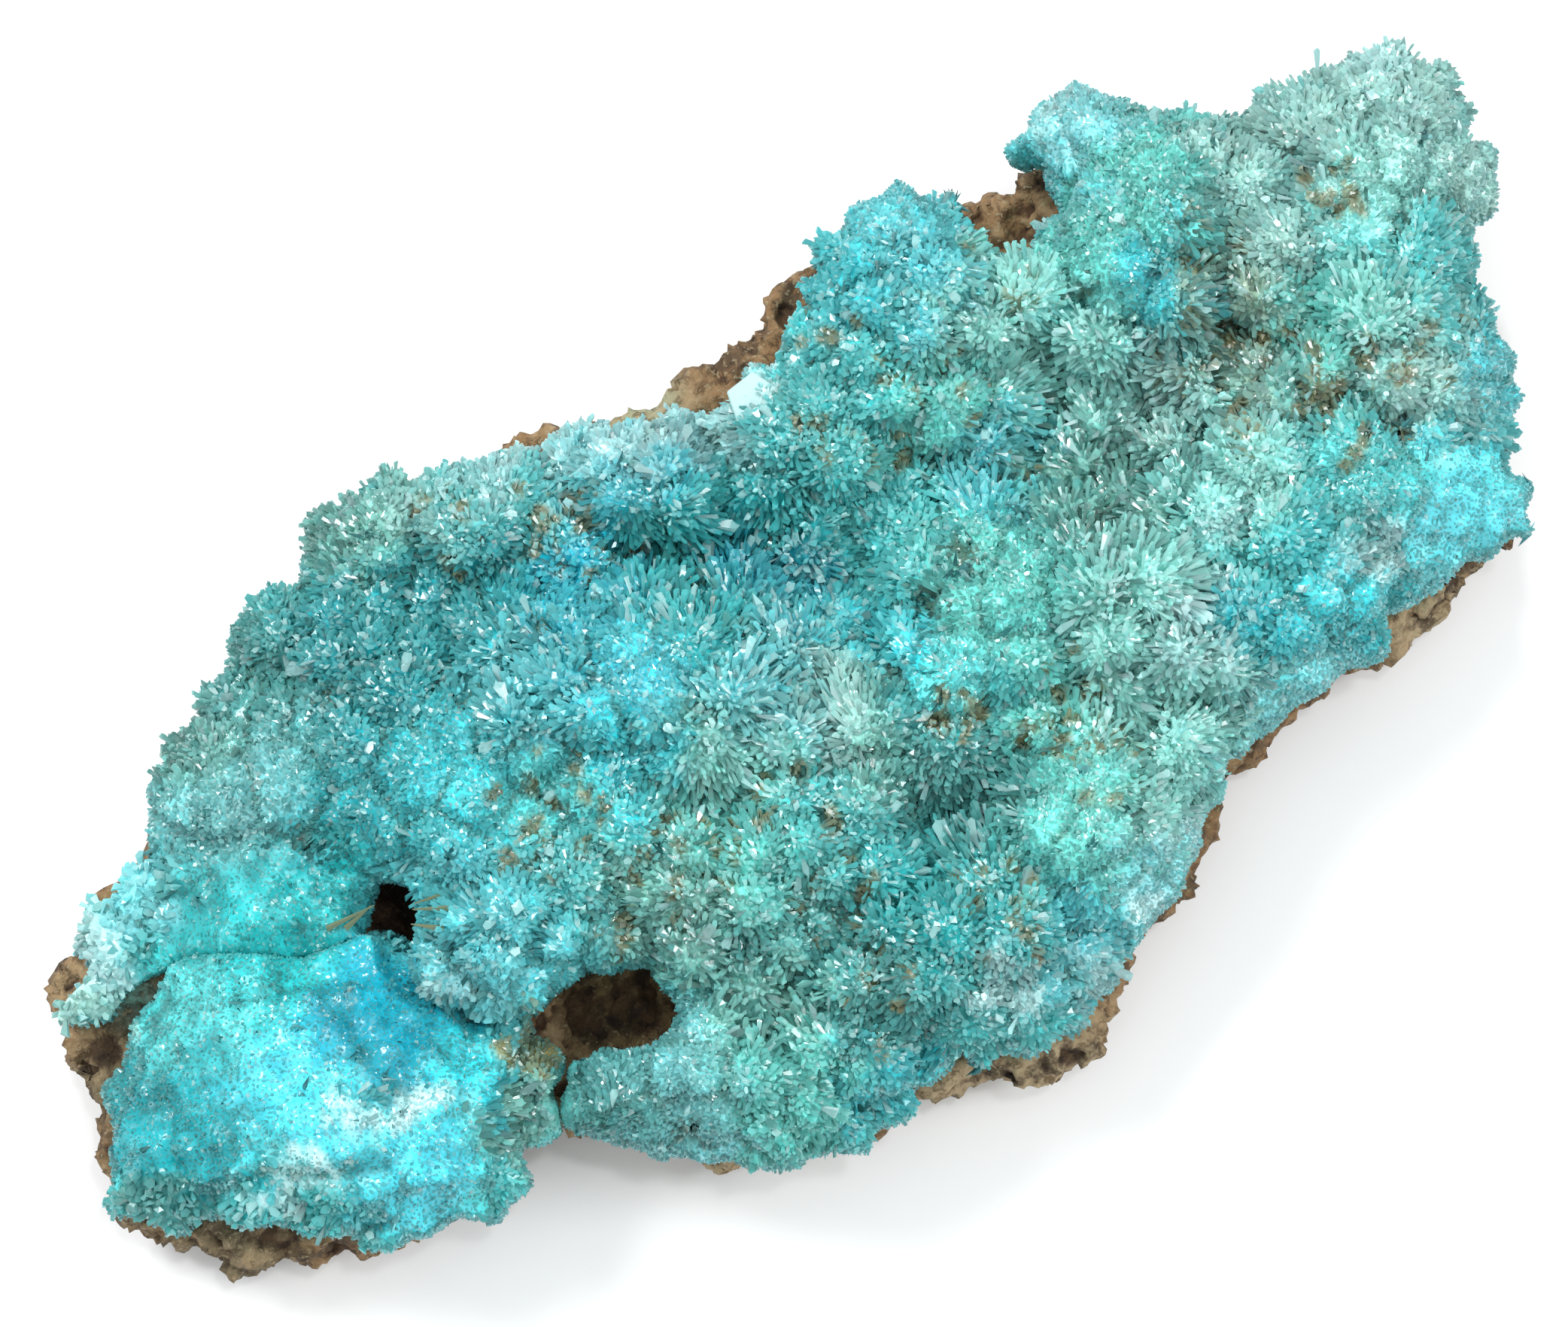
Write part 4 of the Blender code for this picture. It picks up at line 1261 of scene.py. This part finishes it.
    def _near_domes(self, points: np.ndarray) -> tuple[np.ndarray, np.ndarray, np.ndarray]:
        """Finds the dome that each point belongs to.

        Args:
            points: Rows of x, y and z.

        Returns:
            The domes' numbers, how much nearer each is than the next dome, and how deep in the
            valley between the two each point lies, from 0 to 1.
        """
        nearest = [self.dome_tree.find_n(point, 2) for point in points]
        owners = np.array([found[0][1] for found in nearest])
        gap = np.array([found[1][2] - found[0][2] for found in nearest])
        return owners, gap, np.clip(1.0 - gap / self.valley, 0.0, 1.0)

    def _drift(self, points: np.ndarray) -> np.ndarray:
        """Returns how far the colours wander at each point, so that no patch is round."""
        drift = np.zeros((len(points), 2))
        for scale, reach in self.drifts:
            drift += np.array([noise.noise_vector(point * scale).xy for point in points]) * reach
        return drift

    def tones(self, points: np.ndarray, seen: np.ndarray) -> np.ndarray:
        """Finds the colour of the crust.

        Args:
            points: Rows of x, y and z.
            seen: Where they show in the view.

        Returns:
            Linear colours, with the drift of tone, each dome's own tone, and painted shade that
            darkens and greys the valleys and darkens the bottom of the pits.
        """
        owners, _, valley = self._near_domes(points)
        (broad_scale, broad_strength), (fine_scale, fine_strength) = self.broad_waves, self.fine_waves
        broad = np.array([noise.noise(point * broad_scale + self.broad_shift) for point in points])
        fine = np.array([noise.noise(point * fine_scale) for point in points])
        bright = 1.0 + broad_strength * broad + fine_strength * fine + self.dome_tone[owners]
        # Painted shade: darker in the valleys between domes.
        bright *= 1.0 - (1.0 - self.valley_shade) * valley
        colours = self.palette.colours(seen + self._drift(points)) * bright[:, None]
        smooth = self.palette.habits(seen) == HABITS.index(Habit.SMOOTH)
        # Painted shade: the valleys are greyed and darkened towards olive.
        painted_valley_grey = valley * np.clip(0.5 + self.valley_grey_contrast * broad, 0.0, 1.0)
        painted_valley_grey *= np.where(smooth, 0.0, self.valley_grey_share)
        colours = Tone.HOLLOW.mixed_into(colours, painted_valley_grey[:, None])
        # Painted shade: dark olive at the bottom of the pits.
        share, _ = pit_shares(seen)
        return Tone.PIT.mixed_into(colours, np.clip(share * 2.0, 0.0, self.pit_shade)[:, None])

    def stained(self, colours: np.ndarray, points: np.ndarray) -> np.ndarray:
        """Adds the iron stains to colours.

        Args:
            colours: A colour for each point.
            points: Rows of x, y and z.

        Returns:
            The colours, tan near the marks and olive at their hearts.
        """
        tan = np.array(Tone.TAN.linear)
        olive = np.array(Tone.OLIVE.linear)
        colours = colours.copy()
        for number, point in enumerate(points):
            _, mark, away = self.mark_tree.find(point)
            share = 1.0 - away / (2.0 * self.mark_radii[mark])
            if share > 0.0:
                stain = olive + (tan - olive) * min(2.0 - share * 2.0, 1.0)
                share = min(share * self.mark_contrast, self.mark_cover)
                colours[number] = colours[number] * (1.0 - share) + stain * share
        return colours

    def _sites(self) -> Sites:
        """Chooses where crystals stand, with habits of their own on steep sides and at seams."""
        places, facing = self._scatter(self.candidates)
        seen = self.view.seen(places) + self.rng.normal(0.0, self.stray, (len(places), 2))
        habits = self.palette.habits(seen)
        spacing = sizes_at(habits, "spacing") * self.rng.uniform(*self.spacings, len(places))
        kept = kept_apart(places, spacing)
        places, facing, seen, habits = (rows[kept] for rows in (places, facing, seen, habits))
        beside = [line_offsets(self.view.seen(places), line)[0] for line in (SEAM, CRACK)]
        at_seam = np.minimum(*beside) < self.seam_width / 2.0
        habits[facing[:, 2] < self.wall_slope] = HABITS.index(Habit.WALL)
        habits[at_seam] = HABITS.index(Habit.SMOOTH)
        owners, _, _ = self._near_domes(places)
        return Sites(places, facing, seen, habits, owners, at_seam)

    def _axes(self, sites: Sites) -> np.ndarray:
        """Returns directions that fan out from the domes' roots, or stand on end where even."""
        depth = sites.size("depth") * self.dome_scale[sites.owners]
        below = self.dome_facing[sites.owners] * depth[:, None]
        fan = unit(sites.places - self.dome_root[sites.owners] + below)
        lean = self.lesser_lean
        even = sites.size("even")[:, None]
        fanned = unit(np.where(even, sites.facing + fan * lean, sites.facing * lean + fan))
        scatter = sites.size("scatter")[:, None]
        axis = unit(fanned + self.rng.normal(0.0, 1.0, fanned.shape) * scatter)
        axis[sites.at_seam] = unit(axis[sites.at_seam] + self.seam_lift)
        return axis

    def _sizes(self, sites: Sites) -> tuple[np.ndarray, np.ndarray, np.ndarray]:
        """Chooses the crystals' sizes.

        Args:
            sites: Where they stand.

        Returns:
            How far each rises above the crust, its width, and whether it is a large blade.
        """
        count = len(sites.places)
        length = sites.size("rise") * np.sqrt(self.dome_scale[sites.owners])
        length += self.rng.uniform(-1.0, 1.0, count) * sites.size("unevenness")
        width = self.rng.uniform(*sites.size("width").T)
        share, _ = pit_shares(self.view.seen(sites.places))
        length *= np.clip(1.0 - share * self.pit_shortening, self.shortest, 1.0)
        blade = self.rng.random(count) < sites.size("blades")
        blade &= (share < self.blade_pit) & (sites.facing[:, 2] > self.blade_slope)
        width[blade] *= self.rng.uniform(*self.blade_widths, blade.sum())
        length[blade] += self.rng.uniform(*self.blade_lengths, blade.sum())
        return length, width, blade

    def _crystal_tones(self, sites: Sites, blade: np.ndarray) -> np.ndarray:
        """Returns linear colours, paler on steep sides, with some crystals and all blades frosted."""
        count = len(sites.places)
        flecked = sites.seen + self.rng.normal(0.0, self.flecks, (count, 2))
        tones = self.tones(sites.places, flecked) * self.rng.uniform(*self.brightness, (count, 1))
        rim = np.clip((self.rim_slope - sites.facing[:, 2]) / self.slope_range, 0.0, 1.0)
        rim[sites.at_seam] = 0.0
        colours = Tone.FROST_BLUE.mixed_into(tones, rim[:, None] * self.rim_share)
        frosted = (self.rng.random(count) < self.frosted_share) | blade
        colours[frosted] = Tone.FROST.mixed_into(colours[frosted], self.frost)
        return np.clip(colours, 0.0, 1.0)

    def _shape_numbers(self, habits: np.ndarray) -> np.ndarray:
        """Chooses each crystal's shape among those that its habit offers."""
        names = sorted(self.shapes)
        offered = [[names.index(name) for name in HABIT_SIZES[habit].shapes] for habit in HABITS]
        picks = zip(habits, self.rng.random(len(habits)))
        return np.array([offered[habit][int(pick * len(offered[habit]))] for habit, pick in picks])

    def grow(self) -> "Crop":
        """Chooses every crystal's root, direction, size, colour and shape."""
        rng = self.rng
        sites = self._sites()
        count = len(sites.places)
        axis = self._axes(sites)
        length, width, blade = self._sizes(sites)
        colour = self._crystal_tones(sites, blade)
        return Crop(
            root=sites.places - axis * self.sink,
            axis=axis,
            length=length + self.sink,
            width=width,
            colour=colour,
            shape=self._shape_numbers(sites.habits),
            flat=rng.uniform(*self.flats, count),
            roll=rng.uniform(0.0, math.tau, count),
            soft=np.where(rng.random(count) < sites.size("sparkle"), 0.0, sites.size("softness")),
            clear=rng.random(count) < self.palette.clearness(sites.seen) * self.clear_share,
        )


@dataclass
class Crop:
    """Many crystals, one to a row of each array."""

    root: np.ndarray
    axis: np.ndarray
    length: np.ndarray
    width: np.ndarray
    colour: np.ndarray
    shape: np.ndarray
    flat: np.ndarray
    roll: np.ndarray
    soft: np.ndarray
    clear: np.ndarray

    def inside_box(self) -> None:
        """Shortens the crystals whose tips would leave the box of the solids."""
        low, high = solid_box(BOX_MARGIN)
        reach = self.width[:, None] * 0.5
        for bound, sign in ((high, 1.0), (low, -1.0)):
            room = (bound - self.root) * sign - reach
            run = np.maximum(self.axis * sign, 1e-6)
            self.length = np.minimum(self.length, np.maximum((room / run).min(1), LEAST_LENGTH))

    def chosen(self, rows: np.ndarray) -> "Crop":
        """Returns only some of the crystals."""
        return Crop(**{name: values[rows] for name, values in vars(self).items()})


@dataclass
class CrystalPiece:
    """One piece of crystals, joined in one mesh."""

    name: str
    crop: Crop
    shapes: dict[str, Shape]
    growth: Growth
    root_shade: float = 0.9
    tip_paleness: float = 0.3

    def _sides(self) -> tuple[np.ndarray, np.ndarray]:
        """Returns the two ways across each crystal, as long as it is wide and as it is thick."""
        crop = self.crop
        helper = np.where(np.abs(crop.axis[:, 2:]) < 0.9, (0.0, 0.0, 1.0), (1.0, 0.0, 0.0))
        side = unit(np.cross(crop.axis, helper))
        other = np.cross(crop.axis, side)
        turn, lift = np.cos(crop.roll)[:, None], np.sin(crop.roll)[:, None]
        first = (side * turn + other * lift) * crop.width[:, None]
        return first, (other * turn - side * lift) * (crop.width * crop.flat)[:, None]

    def _placed(
        self, shape: Shape, rows: np.ndarray, first: np.ndarray, second: np.ndarray
    ) -> np.ndarray:
        """Copies a shape to the places of its crystals.

        Args:
            shape: The shape.
            rows: The numbers of its crystals.
            first: The way across each crystal along its width.
            second: The way across each crystal along its thickness.

        Returns:
            The copies' points, one row of points a crystal.
        """
        crop = self.crop
        x, y, z = (shape.points[None, :, k, None] for k in range(3))
        top = z.max()
        along = crop.length[rows, None, None] + (z - top) * crop.width[rows, None, None]
        along = np.where(z > top / 2.0, np.maximum(along, 0.0), 0.0)
        made = crop.root[rows, None] + x * first[rows, None]
        return made + y * second[rows, None] + along * crop.axis[rows, None]

    def _tints(self, shape: Shape, rows: np.ndarray, made: np.ndarray) -> np.ndarray:
        """Returns a colour for each point: painted shade at the root, a paler tip that is partly
        painted light and partly frost, and stains.
        """
        height = shape.points[None, :, 2, None]
        rise = np.clip(height / height.max(), 0.0, 1.0) ** 3
        # Painted shade darkens the root; the tip is paled partly as painted light and partly as frost.
        shaded = self.crop.colour[rows, None] * (self.root_shade + (1.0 - self.root_shade) * rise)
        tints = Tone.TIP.mixed_into(shaded, self.tip_paleness * rise)
        return self.growth.stained(tints.reshape(-1, 3), made.reshape(-1, 3))

    def _facets(self, shape: Shape, rows: np.ndarray, made: np.ndarray) -> np.ndarray:
        """Returns each triangle's shading normal, turned towards the axis of soft crystals."""
        a, b, c = (made[:, shape.triangles[:, k]] for k in range(3))
        soft = self.crop.soft[rows, None, None]
        facets = unit(np.cross(b - a, c - a)) * (1.0 - soft) + self.crop.axis[rows, None] * soft
        return unit(facets.reshape(-1, 3))

    def build(self) -> bpy.types.Object:
        """Copies each crystal's shape to its place and joins them all in one mesh."""
        crop = self.crop
        first, second = self._sides()
        points, triangles, colours, normals, finishes = [], [], [], [], []
        total = 0
        for number, name in enumerate(sorted(self.shapes)):
            shape = self.shapes[name]
            rows = np.flatnonzero(crop.shape == number)
            if not len(rows):
                continue
            made = self._placed(shape, rows, first, second)
            starts = total + np.arange(len(rows)) * len(shape.points)
            total += len(rows) * len(shape.points)
            points.append(made.reshape(-1, 3))
            triangles.append((starts[:, None, None] + shape.triangles).reshape(-1, 3))
            colours.append(self._tints(shape, rows, made))
            normals.append(self._facets(shape, rows, made))
            finishes.append(np.repeat(crop.clear[rows], len(shape.triangles)))
        obj = joined_mesh(self.name, *(np.concatenate(part) for part in (points, triangles, colours)))
        only(obj)
        bpy.ops.object.shade_smooth()
        obj.data.normals_split_custom_set(np.repeat(np.concatenate(normals), 3, axis=0))
        obj.data.polygons.foreach_set("material_index", np.concatenate(finishes).astype(np.int32))
        return obj


def place_on(body: bpy.types.Object, view: View, across: float, up: float) -> Vector:
    """Finds the point of a body that the view shows at a place.

    Args:
        body: The body.
        view: The view.
        across: How far to the right the place lies.
        up: How far up it lies.

    Returns:
        The point in metres.
    """
    hit, point, _, _ = body.ray_cast(*view.ray(across, up))
    if not hit:
        raise RuntimeError(f"the view shows no part of {body.name} at {across}, {up}")
    return point


@dataclass(frozen=True)
class CleavedCrystal:
    """A large crystal that broke off flat, whose face shows among the finer ones."""

    name: str
    across: float
    up: float
    radius: float = 1.5
    depth: float = 2.4
    proud: float = 0.35
    tilt: float = 0.14
    corner: float = 0.1

    def build(self, body: bpy.types.Object, view: View) -> bpy.types.Object:
        """Makes the crystal and sets it in the body where the view shows it."""
        place = place_on(body, view, self.across, self.up)
        bpy.ops.object.select_all(action="DESELECT")
        bpy.ops.mesh.primitive_cylinder_add(
            vertices=5,
            radius=self.radius * MM,
            depth=self.depth * MM,
            location=place + Vector((0.0, 0.0, self.proud - self.depth / 2.0)) * MM,
            rotation=(self.tilt, -self.tilt, view.turn),
        )
        obj = bpy.context.object
        obj.name = self.name
        bpy.ops.object.transform_apply(location=True, rotation=True, scale=True)
        bevel = obj.modifiers.new("worn corners", "BEVEL")
        bevel.width = self.corner * MM
        bevel.segments = 2
        apply_all(obj)
        tint_evenly(obj, Tone.FROST)
        return obj


@dataclass(frozen=True)
class Splinters:
    """Thin brown blades that grew across the small hole.

    Each blade is its place across and up, its length and the way it points, in degrees from the
    view's right. All have four sides, stand proud of the body and climb a little.
    """

    name: str
    blades: tuple[tuple[float, float, float, float], ...] = (
        (17.4, 21.2, 2.8, 26.0),
        (18.4, 21.2, 1.8, 42.0),
        (24.4, 23.3, 2.4, 198.0),
        (24.0, 22.3, 2.0, 182.0),
        (23.6, 21.2, 1.7, 172.0),
    )
    width: float = 0.34
    tip: float = 0.06
    proud: float = 0.25
    climb: float = 0.1

    def build(self, body: bpy.types.Object, view: View) -> bpy.types.Object:
        """Makes each blade from its root on the body towards the hole, and joins them."""
        right, above, back = view.axes()
        made = []
        for across, up, length, turn in self.blades:
            root = place_on(body, view, across, up)
            angle = math.radians(turn)
            way = right * math.cos(angle) + above * math.sin(angle) + back * self.climb
            way.normalize()
            bpy.ops.object.select_all(action="DESELECT")
            bpy.ops.mesh.primitive_cone_add(
                vertices=4,
                radius1=self.width / 2.0 * MM,
                radius2=self.tip / 2.0 * MM,
                depth=length * MM,
                location=root + (way * (length / 2.0) + back * self.proud) * MM,
                rotation=way.to_track_quat("Z", "Y").to_euler(),
            )
            bpy.ops.object.transform_apply(location=True, rotation=True, scale=True)
            made.append(bpy.context.object)
        for blade in made:
            blade.select_set(True)
        bpy.ops.object.join()
        obj = bpy.context.object
        obj.name = self.name
        tint_evenly(obj, Tone.MOSS)
        return obj


def joined_mesh(
    name: str, points: np.ndarray, triangles: np.ndarray, colours: np.ndarray
) -> bpy.types.Object:
    """Makes an object from arrays.

    Args:
        name: The object's name.
        points: Rows of x, y and z in millimetres.
        triangles: Rows of three point numbers.
        colours: A linear colour for each point.

    Returns:
        The object, flat shaded.
    """
    mesh = bpy.data.meshes.new(name)
    mesh.vertices.add(len(points))
    mesh.loops.add(triangles.size)
    mesh.polygons.add(len(triangles))
    mesh.vertices.foreach_set("co", (points * MM).astype(np.float32).ravel())
    mesh.loops.foreach_set("vertex_index", triangles.astype(np.int32).ravel())
    mesh.polygons.foreach_set("loop_start", np.arange(len(triangles), dtype=np.int32) * 3)
    mesh.update(calc_edges=True)
    mesh.validate()
    mesh.shade_flat()
    paint(mesh, "tint", colours)
    obj = bpy.data.objects.new(name, mesh)
    bpy.context.scene.collection.objects.link(obj)
    return obj


@dataclass
class MatrixRock:
    """The broken brown rock under the crust.

    Its layers of roughness are a name, a texture, a size and a depth. Its dark places, painted
    shade where the view looks down between crystals, are how far across and up each lies, and its
    radius.
    """

    node: str
    name: str
    palette: Palette
    view: View
    finish: RockFinish
    voxel: float = 0.34
    ease: int = 2
    pull: float = 0.4
    pit_depth: float = 0.45
    layers: tuple[tuple[str, str, float, float], ...] = (
        ("chips", "VORONOI", 3.2, 1.3),
        ("lumps", "VORONOI", 1.5, 1.2),
        ("crumbs", "VORONOI", 0.8, 0.8),
        ("grains", "CLOUDS", 0.5, 0.6),
    )
    painted_shade_places: tuple[tuple[float, float, float], ...] = (
        (21.2, 22.2, 2.6),
        (34.2, 16.6, 1.5),
        (5.6, 14.6, 1.2),
    )

    def build(self) -> bpy.types.Object:
        """Makes the rock's skin from a copy of its solid, roughened at four sizes."""
        obj = evened(self.node, self.name, self.voxel, self.ease)
        before = points_of(obj.data)
        facing = normals_of(obj.data)
        before[:, :2] -= facing[:, :2] * self.pull
        move_points(obj.data, before)
        for name, kind, size, depth in self.layers:
            self._roughen(obj, name, kind, size, depth)
        apply_all(obj)
        after = points_of(obj.data)
        rise = ((after - before) * facing).sum(1)
        move_points(obj.data, np.clip(after, *solid_box()))
        # Painted shade: points that lie lower than most are darkened, and so are the dark places.
        pit = np.clip((np.median(rise) - rise) / self.pit_depth, 0.0, 1.0)
        for across, up, radius in self.painted_shade_places:
            away = np.linalg.norm(self.view.seen(after) - (across, up), axis=1)
            pit = np.maximum(pit, np.clip(2.0 - 2.0 * away / radius, 0.0, 1.0))
        layer = obj.data.attributes.new("pit", "FLOAT", "POINT")
        layer.data.foreach_set("value", pit.astype(np.float32))
        only(obj)
        bpy.ops.object.shade_smooth()
        return obj

    def _roughen(
        self, obj: bpy.types.Object, name: str, kind: str, size: float, depth: float
    ) -> None:
        """Adds a displacement by one of the plain textures."""
        texture = bpy.data.textures.new(name, kind)
        texture.noise_scale = size * MM
        push = obj.modifiers.new(name, "DISPLACE")
        push.texture = texture
        push.texture_coords = "LOCAL"
        push.mid_level = 0.5
        push.strength = depth * MM

    def dress(self, obj: bpy.types.Object) -> None:
        """Tints the rock and gives it its finish."""
        seen = self.view.seen(points_of(obj.data))
        paint(obj.data, "tint", self.palette.colours(seen))
        obj.data.materials.append(self.finish.material())


@dataclass(frozen=True)
class Lamp:
    """A square lamp, placed along the view's own directions, in metres."""

    name: str
    place: tuple[float, float, float]
    size: float
    power: float


@dataclass
class Studio:
    """The floor, the light and the look of the picture."""

    view: View
    floor_size: float = 1.6
    floor_colour: tuple[float, float, float] = (0.9, 0.9, 0.9)
    sky: tuple[float, float, float] = (0.94, 0.98, 1.0)
    sky_strength: float = 0.62
    lamps: tuple[Lamp, ...] = (
        Lamp("window", (-0.42, 0.36, 0.62), 0.26, 3.8),
        Lamp("side window", (0.50, 0.10, 0.55), 0.20, 1.9),
        Lamp("small lamp", (-0.05, 0.62, 0.45), 0.06, 1.3),
        Lamp("glint lamp", (0.12, 0.16, 0.9), 0.05, 0.9),
        Lamp("overhead", (0.0, 0.0, 1.1), 0.9, 2.6),
    )

    def build(self) -> None:
        """Adds the floor, the lamps and the sky."""
        bpy.ops.object.select_all(action="DESELECT")
        bpy.ops.mesh.primitive_plane_add(size=self.floor_size, location=(0.0, 0.0, 0.0))
        floor = bpy.context.object
        floor.name = "floor"
        floor.data.materials.append(PlainFinish("white floor", self.floor_colour).material())
        for lamp in self.lamps:
            self._light(lamp)
        world = bpy.data.worlds.new("sky")
        world.use_nodes = True
        background = world.node_tree.nodes["Background"]
        background.inputs["Color"].default_value = (*self.sky, 1.0)
        background.inputs["Strength"].default_value = self.sky_strength
        bpy.context.scene.world = world
        bpy.context.scene.view_settings.view_transform = "Standard"

    def _light(self, lamp: Lamp) -> None:
        """Adds one lamp that faces the specimen."""
        right, above, back = self.view.axes()
        across, up, out = lamp.place
        place = right * across + above * up + back * out
        data = bpy.data.lights.new(lamp.name, "AREA")
        data.shape = "SQUARE"
        data.size = lamp.size
        data.energy = lamp.power
        light = bpy.data.objects.new(lamp.name, data)
        light.location = place
        light.rotation_euler = place.to_track_quat("Z", "Y").to_euler()
        bpy.context.scene.collection.objects.link(light)


def declare(obj: bpy.types.Object, slot: str, *nodes: str) -> None:
    """Says what a piece rides on and which solids it stands for, and logs its triangles."""
    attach(obj, BODY)
    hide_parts(*nodes)
    obj.data.calc_loop_triangles()
    log.info("%s: %d triangles", obj.name, len(obj.data.loop_triangles))


# Each piece of the crust: its solid, its body's name, its finish slot, the seed of its random
# numbers, and its pieces of crystals, which stand along X from the first bound to the next.
CRUST_PIECES = (
    ("crystal_lobe", "lobe_body", "bright_crystal", 21, (("lobe_crystals", -60.0, 60.0),)),
    (
        "crystal_crust",
        "crust_body",
        "blue_crystal",
        22,
        (
            ("left_crystals", -60.0, -20.0),
            ("middle_left_crystals", -20.0, -3.0),
            ("middle_right_crystals", -3.0, 14.0),
            ("right_crystals", 14.0, 29.0),
            ("tip_crystals", 29.0, 60.0),
        ),
    ),
)


def main() -> None:
    """Builds the studio, the crust with its crystals, and the rock."""
    logging.basicConfig(level=logging.INFO, format="%(name)s: %(message)s")
    view = View()
    view.add_camera()
    Studio(view).build()
    palette = Palette(CRUST_PATCHES, Tone.AQUA)
    shapes = ShapeBench().all()
    body_finish = CrustBodyFinish("dense aragonite")
    frosted = CrystalFinish("frosted aragonite", (0.10, 0.34), 0.3).material()
    clear = CrystalFinish("clear aragonite", (0.05, 0.16), 0.6).material()
    for node, name, slot, seed, spans in CRUST_PIECES:
        maker = CrustBody(node, name, view, body_finish)
        body = maker.build()
        growth = Growth(body, palette, view, shapes, seed)
        crop = growth.grow()
        crop.inside_box()
        maker.dress(body, growth)
        declare(body, slot, node)
        for piece_name, start, end in spans:
            rows = (crop.root[:, 0] >= start) & (crop.root[:, 0] < end)
            piece = CrystalPiece(piece_name, crop.chosen(rows), shapes, growth).build()
            piece.data.materials.append(frosted)
            piece.data.materials.append(clear)
            declare(piece, slot, node)
        if node == "crystal_crust":
            details = (CleavedCrystal("cleaved_crystal", 40.2, 49.4), Splinters("hole_splinters"))
            for detail in details:
                made = detail.build(body, view)
                made.data.materials.append(frosted)
                declare(made, slot, node)
    rock_palette = Palette(ROCK_PATCHES, Tone.BROWN, 0.25)
    rock_maker = MatrixRock("matrix_rock", "rock", rock_palette, view, RockFinish("brown rock"))
    rock = rock_maker.build()
    rock_maker.dress(rock)
    declare(rock, "brown_rock", "matrix_rock")


if __name__ == "__main__":
    main()
